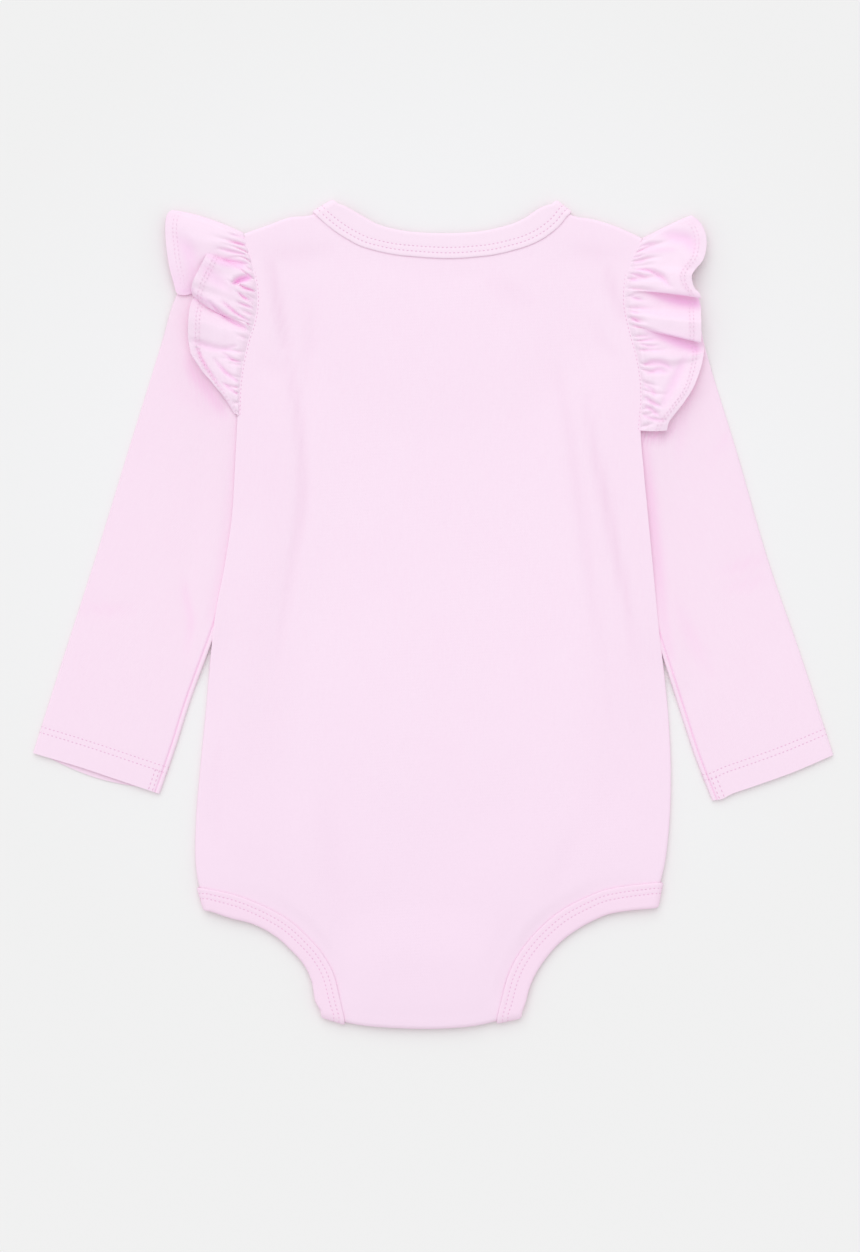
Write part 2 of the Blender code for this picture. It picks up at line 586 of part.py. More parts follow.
def shoulder_line(side):
    """Base of a panel's rolled shoulder, from the armhole to the neck: x, y, out x, out y."""
    back, _, left_out, right_out = neck_rows()
    rows = np.array(SHOULDER[side], float)
    out = outward(rows)
    if side == "right":
        out = -out
    base = rows - (FOLD_RADIUS + WALL / 2) * out
    base[0] -= SIGN[side] * np.array([ARMHOLE_GAP, 0.0])
    tip = back[0] if side == "left" else back[-1]
    tip_out = left_out if side == "left" else right_out
    inside = tucked([tip])[0]
    beside = tip[2:4] + BESIDE_SEAM * unit(tip[2:4] - tip[:2])
    return np.vstack([np.column_stack([base, out]), [*beside, *tip_out],
                      [inside[0], inside[1], *tip_out]])


def shoulder_points(side):
    """The panel's columns on its shoulder; from just beside the binding's seam it is straight."""
    line = shoulder_line(side)
    run = np.concatenate([[0], np.cumsum(np.linalg.norm(np.diff(line[:, :2], axis=0), axis=1))])
    parts = np.linspace(0, run[-2] / run[-1], SHOULDER_COLUMNS - 1)
    points = smooth(line, [*parts, 1.0])
    points[-2] = line[-2]
    return points


def top_line(front):
    """A panel's shoulders and neck, left to right: x, y, height."""
    back_rows, front_rows, _, _ = neck_rows()
    neck = tucked(front_rows)[::-1] if front else tucked(back_rows)
    level = np.full((SHOULDER_COLUMNS, 1), LOW if front else HIGH)
    left, right = shoulder_points("left")[:, :2], shoulder_points("right")[::-1, :2]
    return np.vstack([np.hstack([left, level]), smooth(neck, NECK_COLUMNS)[1:-1],
                      np.hstack([right, level])])


def crotch_line():
    """The line where the back panel starts to fold under, between the tucked ends of the legs."""
    ends = {side: leg_rows(side)[0][-1] for side in SIGN}
    points = [tucked([ends["left"]])[0][:2], ends["left"][2:4], *CROTCH_LINE,
              ends["right"][2:4], tucked([ends["right"]])[0][:2]]
    return np.array([tuple(p) for p in points])


def crotch_places():
    """Where the columns cross the crotch at the flap's end: x from the middle."""
    spans = [*CROTCH_SPANS, tucked(leg_rows("right")[2])[-1, 0]]
    return np.array([-x for x in spans[::-1]] + spans[1:])


def crotch_parts():
    places = crotch_places()
    return (places - places[0]) / (places[-1] - places[0])


def across(left, right):
    """Points on a straight row from one leg binding to the other."""
    return left + (right - left) * crotch_parts()[:, None]


def bottom_line(front):
    """A panel's legs and crotch fold or tab root, left to right: x, y, height."""
    columns = FRONT_LEG_COLUMNS if front else BACK_LEG_COLUMNS
    left, right = (smooth(tucked(leg_rows(side)[1 if front else 0]), columns) for side in SIGN)
    if front:
        middle = across(left[-1], right[-1])
    else:
        middle = smooth(crotch_line(), crotch_parts())
        middle = np.column_stack([middle, np.full(len(middle), HIGH)])
    return np.vstack([left, middle[1:-1], right[::-1]])


def patch(bottom, top, left, right, v):
    """A Coons patch in plan between four sampled lines; u follows the columns of bottom and top."""
    def parts(line):
        run = np.concatenate([[0], np.cumsum(np.linalg.norm(np.diff(line[:, :2], axis=0), axis=1))])
        return run / run[-1]
    u = ((parts(bottom) + parts(top)) / 2)[None, :, None]
    v = np.array(v)[:, None, None]
    b, t = bottom[None, :, :2], top[None, :, :2]
    l, r = left[:, None, :2], right[:, None, :2]
    return ((1 - v) * b + v * t + (1 - u) * l + u * r
            - (1 - u) * (1 - v) * b[:, :1] - u * (1 - v) * b[:, -1:]
            - (1 - u) * v * t[:, :1] - u * v * t[:, -1:])


def turned(base, out, height, radius, angle, down):
    """Points rolled over an edge: base in plan, out from it, and the turn's angle."""
    bend = radius * (1 - np.cos(angle))
    return np.column_stack([base + (radius * np.sin(angle))[:, None] * out,
                            height - bend if down else height + bend])


def pulled(plan, z, line, hold, fade):
    """Heights drawn to those of a line of x, y, height: fully within `hold` of it."""
    away = np.linalg.norm(plan[:, :, None] - line[None, None, :, :2], axis=-1)
    nearest = away.argmin(axis=-1)
    weight = ease(1 - (away.min(axis=-1) - hold) / fade)
    return z + (line[nearest, 2] - z) * weight


def panel_heights(plan, front):
    """Middle heights of a panel: over what it hides, and level with its bindings at the edges."""
    fine = np.linspace(0, 1, 90)
    rest, forms, fade = ((FRONT_REST, UNDER_FRONT, FRONT_FADE) if front
                         else (BACK_REST, UNDER_BACK, BACK_FADE))
    z = rest + lift(plan[..., 0], plan[..., 1], forms, fade)
    soft = 12.0 if front else 22.0
    level = LOW if front else HIGH
    back_neck, front_neck, _, _ = neck_rows()
    for side in SIGN:
        z = pulled(plan, z, smooth(side_line(side, front), fine), 4.0, soft)
        shoulder = smooth(shoulder_line(side), fine)
        shoulder[:, 2] = level
        z = pulled(plan, z, shoulder, 3.0, soft)
    z = pulled(plan, z, smooth(tucked(front_neck if front else back_neck), fine), 14.5, 12.0)
    for side in SIGN:
        leg = leg_rows(side)[1 if front else 0]
        z = pulled(plan, z, smooth(tucked(leg), fine), 14.5, 6.5)
    return np.maximum(z, rest)


def make_panel(name, front, finish):
    top, bottom = top_line(front), bottom_line(front)
    sides = {side: smooth(side_line(side, front), PANEL_ROWS) for side in SIGN}
    plan = patch(bottom, top, sides["left"], sides["right"], PANEL_ROWS)
    z = panel_heights(plan, front)
    for side, column in (("left", 0), ("right", -1)):
        z[:, column] = sides[side][:, 2]
    z[-1], z[0] = top[:, 2], bottom[:, 2]
    rows, columns = z.shape

    first = len(BACK_LEG_COLUMNS) - 1
    crotch = slice(first, columns - first)
    below = tab_rows() if front else flap_rows(bottom[crotch])
    roll, flap = TURN_STEPS, len(below)
    grid = np.full((flap + rows + roll, roll + columns + roll, 3), np.nan)
    grid[flap:flap + rows, roll:roll + columns] = np.dstack([plan, z])
    grid[:flap, roll + first:roll + columns - first] = below
    for side in SIGN:
        edge, line = sides[side], shoulder_points(side)
        place = slice(roll, roll + SHOULDER_COLUMNS)
        if side == "right":
            line, place = line[::-1], slice(roll + columns - SHOULDER_COLUMNS, roll + columns)
        radius = np.full(SHOULDER_COLUMNS, FOLD_RADIUS)
        height = np.full(SHOULDER_COLUMNS, LOW if front else HIGH)
        for step in range(1, roll + 1):
            part = step / roll
            column = roll - step if side == "left" else roll + columns - 1 + step
            grid[flap:flap + rows, column] = turned(
                edge[:, :2], unit(edge[:, 5:7]), edge[:, 2], edge[:, 3],
                full_turn(edge[:, 3]) * edge[:, 4] * part, not front)
            grid[flap + rows - 1 + step, place] = turned(
                line[:, :2], unit(line[:, 2:4]), height, radius, full_turn(radius) * part,
                not front)
    return sheet(name, grid, finish)


def tab_rows():
    """The front panel's tab, below its root; the last row is next to the root."""
    sides = [tucked(leg_rows(side)[1]) for side in SIGN]
    found = [across(*(smooth(line, [along])[0] for line in sides)) for along in TAB_PARTS]
    return np.array(found[::-1])


def flap_rows(fold):
    """The back panel's flap, from its end to the crotch fold and round it."""
    _, seated, seat_end, tab_edge, flap_seam = CROTCH_SPANS
    sides = [tucked(leg_rows(side)[2]) for side in SIGN]
    middle = np.abs(crotch_places())
    seat = STUD_SEAT * ease((seat_end - middle) / (seat_end - seated))
    bound = ease((middle - tab_edge) / (flap_seam - tab_edge))
    found = []
    for along in FLAP_PARTS:
        line = across(*(smooth(side, [along])[0] for side in sides))
        line[:, 2] = (FLAP_REST + seat) * (1 - bound) + LOW * bound
        found.append(line)
    bends = []
    for angle in CROTCH_TURNS:
        turn = math.radians(angle)
        bends.append(np.column_stack([fold[:, 0], fold[:, 1] - FOLD_RADIUS * math.sin(turn),
                                      np.full(len(fold), FOLD_HEIGHT + FOLD_RADIUS * math.cos(turn))]))
    under = np.column_stack([fold[:, :2], np.full(len(fold), LOW)])
    return np.array(found[::-1] + [under] + bends)


# ---- sleeves ----

def make_sleeve(side, finish):
    tables = SLEEVE[side]
    parts = np.array(SLEEVE_STATIONS)
    outer, inner = smooth(tables["outer"], parts), smooth(tables["inner"], parts)
    w = np.linspace(0, 1, SLEEVE_COLUMNS)
    armhole, cuff = smooth(tables["armhole"], w), smooth(tables["cuff"], w)
    across = w[None, :, None]
    plan = outer[:, None] * (1 - across) + inner[:, None] * across
    bow_top = (armhole - (armhole[0] * (1 - w[:, None]) + armhole[-1] * w[:, None]))[None]
    bow_end = (cuff - (cuff[0] * (1 - w[:, None]) + cuff[-1] * w[:, None]))[None]
    s = parts[:, None, None]
    plan = plan + bow_top * (1 - s) ** 5 + bow_end * s ** 5
    # leave room for the roll at both folds
    radius = HEAD_RADIUS + (SLEEVE_RADIUS - HEAD_RADIUS) * ease((parts - 0.28) / 0.2)
    reach = (radius + WALL / 2)[:, None]
    ahead = unit(plan[:, 1] - plan[:, 0])
    behind = unit(plan[:, -1] - plan[:, -2])
    plan[:, 0] += reach * ahead
    plan[:, -1] -= reach * behind
    low = SLEEVE_REST + lift(plan[..., 0], plan[..., 1], UNDER_SLEEVE[side], SLEEVE_FADE)
    puff = 0.5 * np.sin(np.pi * w)[None] * ease((parts[:, None] - 0.35) / 0.3)
    high = low + 2 * radius[:, None] + puff
    rings = []
    turns = [math.radians(a) for a in (45, 90, 135)]
    for i in range(len(parts)):
        ring = [(*plan[i, j], high[i, j]) for j in range(SLEEVE_COLUMNS)]
        for turn in turns:
            shift = radius[i] * math.sin(turn) * behind[i]
            rise = radius[i] * (1 + math.cos(turn))
            ring.append((*(plan[i, -1] + shift), low[i, -1] + rise))
        ring += [(*plan[i, j], low[i, j]) for j in reversed(range(SLEEVE_COLUMNS))]
        for turn in turns[::-1]:
            shift = radius[i] * math.sin(turn) * ahead[i]
            rise = radius[i] * (1 + math.cos(turn))
            ring.append((*(plan[i, 0] - shift), low[i, 0] + rise))
        rings.append(ring)
    return sheet(f"sleeve_{side}", rings, finish, closed=True)


# ---- ruffles ----

def make_ruffle(side, finish):
    seam_rows = RUFFLE_SEAM[side]
    top = np.array(RUFFLE_TOP[side])
    shoulder = np.array(seam_rows[-1])

    def stretch(rows, count, seam_height, end_height):
        rows = np.array(rows, float)
        hem = smooth(np.column_stack([rows[:, 1:], rows[:, 0]]), np.linspace(0, 1, count))
        seam = smooth(seam_rows, hem[:, 4])
        z = end_height + (seam_height - end_height) * ease(hem[:, 4] / RUFFLE_END)
        return [(np.array([*a, c]), h[:3], h[3]) for a, c, h in zip(seam, z, hem)]

    ribs = stretch(RUFFLE_BACK[side], RUFFLE_RIBS["back"], RUFFLE_SEAM_HIGH, RUFFLE_SEAM_HIGH)
    last_back = ribs[-1]
    first_front = stretch(RUFFLE_FRONT[side], RUFFLE_RIBS["front"], RUFFLE_SEAM_LOW,
                          RUFFLE_END_LOW)
    over = []
    for angle in (35, 90, 145):
        turn = math.radians(angle)
        t = (1 - math.cos(turn)) / 2
        seam_z = RUFFLE_SEAM_HIGH * (1 - t) + RUFFLE_SEAM_LOW * t
        seam = np.array([shoulder[0], shoulder[1] + 0.8 * math.sin(turn), seam_z])
        ends = last_back[1] * (1 - t) + first_front[0][1] * t
        out = top - ends[:2]
        hem = np.array([*(ends[:2] + out * math.sin(turn)), ends[2]])
        hem[2] = last_back[1][2] * (1 - t) + first_front[0][1][2] * t
        over.append((seam, hem, 0.0))
    grid = []
    for seam, hem, swell in ribs + over + first_front:
        rib = []
        for v in RUFFLE_ACROSS:
            point = seam + (hem - seam) * v
            point[2] = seam[2] + (hem[2] - seam[2]) * v ** RUFFLE_SPRING + swell * 4 * v * (1 - v)
            rib.append(point)
        grid.append(rib)
    return sheet(f"ruffle_{side}", grid, finish)


# ---- studs ----

def make_stud(number, place, finish):
    verts, faces = [], []
    rings = STUD_PROFILE[1:-1]
    for radius, height in rings:
        for k in range(STUD_SIDES):
            angle = 2 * math.pi * k / STUD_SIDES
            verts.append((place[0] + radius * math.cos(angle), place[1] + radius * math.sin(angle),
                          height))
    for i in range(len(rings) - 1):
        for k in range(STUD_SIDES):
            n = (k + 1) % STUD_SIDES
            a, b = i * STUD_SIDES, (i + 1) * STUD_SIDES
            faces.append((a + k, a + n, b + n, b + k))
    faces.append(tuple(range(STUD_SIDES)))
    faces.append(tuple(range(len(verts) - STUD_SIDES, len(verts))))
    return new_object(f"snap_{number}", verts, faces, finish)


def cut_stud_holes(panels):
    for place in STUD_PLACES:
        bpy.ops.mesh.primitive_cylinder_add(vertices=STUD_SIDES, radius=STUD_HOLE * MM, depth=0.012,
                                            location=(place[0] * MM, place[1] * MM, 0.0))
        cutter = bpy.context.object
        cutter.name = "stud_hole"
        cutter.hide_render = True
        cutter.display_type = "WIRE"
        cutter.location.z = -0.0023
        for panel in panels:
            cut = panel.modifiers.new("Stud hole", "BOOLEAN")
            cut.object = cutter
            cut.operation = "DIFFERENCE"


def main():
    clear_scene()
    cloth = {name: material(name, CLOTH, 0.9)
             for name in ("back_jersey", "front_jersey", "sleeve_jersey", "ruffle_jersey")}
    bound = material("binding_jersey", BINDING, 0.9)
    stud = material("stud_plastic", STUD, 0.4)
    back = make_panel("back_panel", False, cloth["back_jersey"])
    front = make_panel("front_panel", True, cloth["front_jersey"])
    make_neck(bound)
    for side in SIGN:
        make_leg(side, bound)
        make_sleeve(side, cloth["sleeve_jersey"])
        make_ruffle(side, cloth["ruffle_jersey"])
    for number, place in enumerate(STUD_PLACES, 1):
        make_stud(number, place, stud)
    cut_stud_holes([back, front])


main()
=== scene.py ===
import bmesh
import bpy
import math
import numpy as np
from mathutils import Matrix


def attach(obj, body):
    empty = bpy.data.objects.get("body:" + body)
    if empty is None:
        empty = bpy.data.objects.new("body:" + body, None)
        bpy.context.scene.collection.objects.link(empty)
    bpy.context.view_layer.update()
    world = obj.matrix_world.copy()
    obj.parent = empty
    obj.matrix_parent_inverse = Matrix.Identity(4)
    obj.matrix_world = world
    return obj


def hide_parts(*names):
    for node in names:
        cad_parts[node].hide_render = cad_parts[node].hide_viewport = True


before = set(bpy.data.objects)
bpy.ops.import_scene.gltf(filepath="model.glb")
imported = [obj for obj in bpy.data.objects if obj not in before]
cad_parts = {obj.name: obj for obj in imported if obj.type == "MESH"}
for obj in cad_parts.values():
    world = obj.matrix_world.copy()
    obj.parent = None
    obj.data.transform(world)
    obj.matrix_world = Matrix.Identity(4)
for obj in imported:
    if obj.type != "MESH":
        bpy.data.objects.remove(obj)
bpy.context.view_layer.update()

mm = 0.001
sign = {"left": -1.0, "right": 1.0}


def sided(name, side):
    return name + side.capitalize()


def hexColour(text):
    parts = [int(text[i:i + 2], 16) / 255 for i in (1, 3, 5)]
    return (*[c / 12.92 if c <= 0.04045 else ((c + 0.055) / 1.055) ** 2.4 for c in parts], 1.0)


def ease(x):
    x = np.clip(x, 0.0, 1.0)
    return x * x * (3 - 2 * x)


def rising(x, start, wide):
    return ease((x - start) / wide)


def closer(upTo, before, after):
    # places from 0 to 1, closer together past upTo
    return np.concatenate([np.linspace(0, upTo, before), np.linspace(upTo, 1, after)[1:]])


def unit(v):
    return v / np.maximum(np.linalg.norm(v, axis=-1, keepdims=True), 1e-9)


def hermite(rows, at, wanted, levelFrom):
    # columns from levelFrom on never swing past their rows
    pace = np.diff(rows, axis=0) / np.diff(at)[:, None]
    slope = np.vstack([pace[:1], (rows[2:] - rows[:-2]) / (at[2:] - at[:-2])[:, None], pace[-1:]])
    before, after = pace[:-1, levelFrom:], pace[1:, levelFrom:]
    slope[1:-1, levelFrom:] = np.where(before * after > 0,
                                       2 * before * after / (before + after + 1e-12), 0)
    k = np.clip(np.searchsorted(at, wanted, side="right") - 1, 0, len(rows) - 2)
    span = (at[k + 1] - at[k])[:, None]
    t = ((wanted - at[k]) / span[:, 0])[:, None]
    return ((2 * t**3 - 3 * t**2 + 1) * rows[k] + (t**3 - 2 * t**2 + t) * span * slope[k]
            + (3 * t**2 - 2 * t**3) * rows[k + 1] + (t**3 - t**2) * span * slope[k + 1])


def smooth(rows, parts):
    # a curve through rows, at parts of its length seen from above
    rows = np.array(rows, float)
    step = np.linalg.norm(np.diff(rows[:, :2], axis=0), axis=1)
    at = np.concatenate([[0.0], np.cumsum(np.maximum(step, 1e-6))])
    points = hermite(rows, at, np.linspace(0, at[-1], 40 * len(rows)), 2)
    run = runAlong(points[:, :2])
    return placed(np.asarray(parts, float) * run[-1], run, points)


def runAlong(line):
    # the length from the start, at each point of a line
    return np.concatenate([[0.0], np.cumsum(np.linalg.norm(np.diff(line, axis=0), axis=1))])


def placed(wanted, run, points):
    # the points at wanted lengths of a line
    return np.stack([np.interp(wanted, run, column) for column in np.transpose(points)], axis=-1)


def lineLength(line):
    return np.linalg.norm(np.diff(np.array(line, float)[:, :2], axis=0), axis=1).sum()


def lift(x, y, forms, fade, less=0.0):
    # how far cloth is held up by forms of x, y, reach, height
    total = np.zeros(np.shape(x))
    for form in forms:
        for fx, fy, reach, height in smooth(form, np.linspace(0, 1, 6 * len(form))):
            away = np.hypot(x - fx, y - fy) - reach
            total = np.maximum(total, (height - less) * ease(1 - away / fade))
    return total


def trough(x, y, forms):
    # creases along lines of x, y, half width, depth
    total = np.zeros(np.shape(x))
    for form in forms:
        count = 2 + int(2.5 * lineLength(form) / min(row[2] for row in form))
        for cx, cy, wide, deep in smooth(form, np.linspace(0, 1, count)):
            total = np.maximum(total, deep * np.exp(-((x - cx)**2 + (y - cy)**2) / wide**2))
    return total


def blurred(z, times):
    for _ in range(times):
        wide = np.pad(z, 1, mode="edge")
        z = (wide[:-2, 1:-1] + wide[2:, 1:-1] + wide[1:-1, :-2] + wide[1:-1, 2:] + 4 * z) / 8
    return z


def outward(points):
    # square to a line, in plan
    along = np.gradient(points[:, :2], axis=0)
    return unit(np.column_stack([-along[:, 1], along[:, 0]]))


def nearestOn(plan, line):
    away = np.linalg.norm(plan[:, :, None] - line[None, None, :, :2], axis=-1)
    return away.min(axis=-1), away.argmin(axis=-1)


def slack(x, y, scale, seed):
    # five fixed waves in directions of their own, for cloth that never lies quite flat
    total = np.zeros(np.shape(x))
    for k in range(5):
        turn, reach = seed + 2.399 * k, scale * (0.7 + 0.23 * k)
        total += np.sin((x * math.cos(turn) + y * math.sin(turn)) * 6.283 / reach + seed * (k + 1))
    return total / 5


def feed(tree, node, inputs):
    # a node given as a value is linked by its first output
    for key, value in inputs.items():
        if isinstance(value, bpy.types.Node):
            value = value.outputs[0]
        if isinstance(value, bpy.types.NodeSocket):
            tree.links.new(value, node.inputs[key])
        else:
            node.inputs[key].default_value = value


def addNode(tree, kind, inputs, **settings):
    node = tree.nodes.new("ShaderNode" + kind)
    for key, value in settings.items():
        setattr(node, key, value)
    feed(tree, node, inputs)
    return node


def newMaterial(name):
    made = bpy.data.materials.new(name)
    made.use_nodes = True
    return made, made.node_tree, made.node_tree.nodes["Principled BSDF"]


def mirrored(tree, value):
    # a value that runs from 0 to 1 now falls from 1 to 0 and rises again
    doubled = addNode(tree, "Math", {0: value, 1: 2.0, 2: -1.0}, operation="MULTIPLY_ADD")
    return addNode(tree, "Math", {0: doubled}, operation="ABSOLUTE")


# Cotton single jersey, knitted and brushed soft: matt, with columns of V loops, a little lint, and
# faint streaks where the yarn is uneven. Its columns are really about 0.7 mm apart and are drawn
# a little coarser, so that they show. Wale and course are in millimetres, scales per metre.
knitting = {
    "wale": 0.95, "course": 0.75, "slant": 0.55, "legs": 0.5, "loops": 0.5,
    "lintScale": 2600.0,  # 0.4 mm
    "blotchScale": 26.0,  # 38 mm
    "yarnAcross": 0.9, "yarnAlong": 0.12,  # streaks 1 mm by 8 mm
    # painted shade that darkens the cloth toward the bottom, from and to
    "shadeFrom": 0.0, "shadeTo": -0.2,  # along Y, in metres
    "bump": {"Strength": 0.45, "Distance": 0.00013},
    "finish": {"Roughness": 0.92, "Specular IOR Level": 0.15, "Sheen Weight": 0.05,
               "Sheen Roughness": 0.6, "Sheen Tint": hexColour("#FFF3FB")},
}


def jersey(name, colour, shade, bottomShade="#F9DBED", foldShade="#EFC6DE", turned=False):
    made, tree, surface = newMaterial(name)
    uv = addNode(tree, "UVMap", {})
    parts = addNode(tree, "SeparateXYZ", {0: uv}).outputs
    across, along = (parts["Y"], parts["X"]) if turned else (parts["X"], parts["Y"])
    # each wale is a column of V loops
    wales = addNode(tree, "Math", {0: across, 1: 1 / knitting["wale"]}, operation="MULTIPLY")
    side = mirrored(tree, addNode(tree, "Math", {0: wales}, operation="FRACT"))
    slant = addNode(tree, "Math", {0: side, 1: knitting["slant"]}, operation="MULTIPLY")
    row = addNode(tree, "Math", {0: along, 1: 1 / knitting["course"], 2: slant},
                  operation="MULTIPLY_ADD")
    loop = mirrored(tree, addNode(tree, "Math", {0: row}, operation="FRACT"))
    legs = addNode(tree, "Math", {0: mirrored(tree, side), 1: -knitting["legs"], 2: 1.0},
                   operation="MULTIPLY_ADD")
    knit = addNode(tree, "Math", {0: loop, 1: -knitting["loops"], 2: legs},
                   operation="MULTIPLY_ADD")
    solid = addNode(tree, "TexCoord", {}).outputs["Object"]
    lint = addNode(tree, "TexNoise", {"Vector": solid, "Scale": knitting["lintScale"],
                                      "Detail": 3.0, "Roughness": 0.6})
    blotch = addNode(tree, "TexNoise", {"Vector": solid, "Scale": knitting["blotchScale"],
                                        "Detail": 4.0, "Roughness": 0.55})
    yarn = (knitting["yarnAcross"], knitting["yarnAlong"], 0.0)
    drawn = addNode(tree, "VectorMath", {0: uv, 1: (yarn[1], yarn[0], 0.0) if turned else yarn},
                    operation="MULTIPLY")
    slub = addNode(tree, "TexNoise", {"Vector": drawn, "Scale": 1.0, "Detail": 3.0,
                                      "Roughness": 0.6})
    uneven = addNode(tree, "Math", {0: slub, 1: 0.5, 2: knit}, operation="MULTIPLY_ADD")
    height = addNode(tree, "Math", {0: lint, 1: 0.45, 2: uneven}, operation="MULTIPLY_ADD")
    patchy = addNode(tree, "Math", {0: blotch, 1: 0.25, 2: -0.1}, operation="MULTIPLY_ADD")
    streaks = addNode(tree, "Math", {0: slub, 1: 0.35, 2: patchy}, operation="MULTIPLY_ADD")
    between = addNode(tree, "Math", {0: 1.0, 1: knit}, operation="SUBTRACT")
    tone = addNode(tree, "Math", {0: between, 1: 0.35, 2: streaks}, operation="MULTIPLY_ADD")
    # the cloth is deeper between the loops; painted shade darkens it in the folds and toward the
    # seat, at the bottom
    shadeMask = addNode(tree, "Attribute", {}, attribute_name="fold").outputs["Fac"]
    low = addNode(tree, "MapRange", {
        "Value": addNode(tree, "SeparateXYZ", {0: solid}).outputs["Y"],
        "From Min": knitting["shadeFrom"], "From Max": knitting["shadeTo"]},
        interpolation_type="SMOOTHSTEP")
    mixed = hexColour(colour)
    for part, tint in ((tone, shade), (shadeMask, foldShade), (low, bottomShade)):
        mixed = addNode(tree, "Mix", {0: part, 6: mixed, 7: hexColour(tint)},
                        data_type="RGBA").outputs[2]
    feed(tree, surface, {"Base Color": mixed, **knitting["finish"],
                         "Normal": addNode(tree, "Bump", {"Height": height, **knitting["bump"]})})
    return made


# Spun polyester sewing thread: a faint gloss, and a twist drawn as bands 0.45 mm apart, a little
# coarser than its real plies so that it shows.
spunThread = {
    "kind": "TexWave", "settings": {"bands_direction": "DIAGONAL"},
    "pattern": {"Scale": 1400.0, "Distortion": 3.0, "Detail": 2.0},
    "bump": {"Strength": 0.5, "Distance": 0.00008},
    "finish": {"Roughness": 0.6, "Sheen Weight": 0.15},
}
# Moulded acetal: smooth, a little glossy and almost white, with a grain of 1 mm that hardly shows.
mouldedAcetal = {
    "kind": "TexNoise", "settings": {},
    "pattern": {"Scale": 900.0, "Detail": 3.0},
    "bump": {"Strength": 0.15, "Distance": 0.00005},
    "finish": {"Roughness": 0.33, "Coat Weight": 0.2},
}


def grained(name, colour, shade, stuff):
    made, tree, surface = newMaterial(name)
    solid = addNode(tree, "TexCoord", {}).outputs["Object"]
    grain = addNode(tree, stuff["kind"], {"Vector": solid, **stuff["pattern"]},
                    **stuff["settings"]).outputs["Fac"]
    mixed = addNode(tree, "Mix", {0: grain, 6: hexColour(colour), 7: hexColour(shade)},
                    data_type="RGBA").outputs[2]
    feed(tree, surface, {"Base Color": mixed, **stuff["finish"],
                         "Normal": addNode(tree, "Bump", {"Height": grain, **stuff["bump"]})})
    return made


print("materials")
colours = {
    "body": jersey("bodyJersey", "#FEE4F3", "#FBD7EC"),
    "sleeve": jersey("sleeveJersey", "#FDE2F1", "#FAD5EA", foldShade="#FFB4E6"),
    "ruffle": jersey("ruffleJersey", "#FEE5F4", "#FBD7EC", foldShade="#FFA2EA", turned=True),
    "neck": jersey("neckJersey", "#FEE5F3", "#FBDAED", turned=True),
    "leg": jersey("legJersey", "#FDE0F0", "#F9D3E9", bottomShade="#FAD9EC", turned=True),
    # the stitching thread is drawn darker than the cloth, partly as painted shade standing for the
    # needle holes
    "thread": grained("pinkThread", "#F2C2DE", "#EAAFD2", spunThread),
    "paleThread": grained("paleThread", "#FCE0F1", "#F8D2E8", spunThread),
    "stud": grained("studPlastic", "#F7E6F1", "#E9D3E2", mouldedAcetal),
}


studs = {"places": [(-14, -191), (0, -191), (14, -191)], "hole": 2.6, "sides": 28,
         "cut": 12.0, "cutMiddle": -2.3}
press = {"part": 0.62, "above": 6.8, "rise": 0.2, "hold": 8.0, "fade": 34.0}


def pressed(points):
    # the pile lies pressed thin, but not at the studs nor in the ruffles' waves
    points = np.array(points, float)
    x, y, z = points.T
    along = np.maximum(np.abs(x) - studs["places"][-1][0], 0)
    away = np.hypot(along, y - studs["places"][0][1])
    kept = ease(1 - (away - press["hold"]) / press["fade"])
    flat = press["part"] * z + press["rise"] * np.maximum(z - press["above"], 0)**2
    points[:, 2] = np.maximum(kept * z + (1 - kept) * flat, 0)
    return points


def finishObject(name, verts, faces, uvs, look, wall=None):
    mesh = bpy.data.meshes.new(name)
    mesh.from_pydata(pressed(verts) * mm, [], faces)
    if uvs is not None:
        layer = mesh.uv_layers.new(name="UVMap")
        flat = np.asarray(uvs, np.float32)[np.array([v for f in faces for v in f])]
        layer.data.foreach_set("uv", flat.ravel())
    work = bmesh.new()
    work.from_mesh(mesh)
    bmesh.ops.recalc_face_normals(work, faces=work.faces)
    work.to_mesh(mesh)
    work.free()
    mesh.materials.append(look)
    mesh.shade_smooth()
    made = bpy.data.objects.new(name, mesh)
    bpy.context.scene.collection.objects.link(made)
    if wall:
        thick = made.modifiers.new("Wall", "SOLIDIFY")
        thick.thickness = wall * mm
        thick.offset = 0.0
        applyModifiers(made)
        made.data.set_sharp_from_angle(angle=math.radians(50))
    return made


def applyModifiers(made):
    bpy.ops.object.select_all(action="DESELECT")
    made.select_set(True)
    bpy.context.view_layer.objects.active = made
    for each in list(made.modifiers):
        bpy.ops.object.modifier_apply(modifier=each.name)


def gridUv(grid):
    # lengths along both ways of the cloth, in millimetres
    down = np.linalg.norm(np.diff(grid, axis=0), axis=2)
    over = np.linalg.norm(np.diff(grid, axis=1), axis=2)
    level, middle = grid.shape[0] * 3 // 5, grid.shape[1] // 2  # a row without gaps
    for order in (range(level, len(over)), range(level, -1, -1)):
        for i in order:
            beside = over[np.clip(i + (1 if order.step < 0 else -1), 0, len(over) - 1)]
            over[i] = np.where(np.isnan(over[i]), beside, over[i])
    v = np.vstack([np.zeros((1, grid.shape[1])), np.nancumsum(down, axis=0)])
    u = np.hstack([np.zeros((grid.shape[0], 1)), np.nancumsum(over, axis=1)])
    return np.dstack([u - u[:, middle:middle + 1], v - v[level]])


def clothSheet(name, grid, look, closed=False, planUv=False):
    # rows of points become a sheet, with holes where a point is missing
    rows, columns = grid.shape[:2]
    there = ~np.isnan(grid[:, :, 0])
    index = -np.ones((rows, columns), int)
    index[there] = np.arange(there.sum())
    ahead = np.roll(index, -1, axis=1)
    quads = np.stack([index[:-1], ahead[:-1], ahead[1:], index[1:]], axis=-1)
    if not closed:
        quads = quads[:, :-1]
    quads = quads.reshape(-1, 4)
    faces = [tuple(map(int, q)) for q in quads if q.min() >= 0]
    uvs = grid[..., :2] if planUv else gridUv(grid)
    return finishObject(name, grid[there], faces, uvs[there], look, fold["wall"])


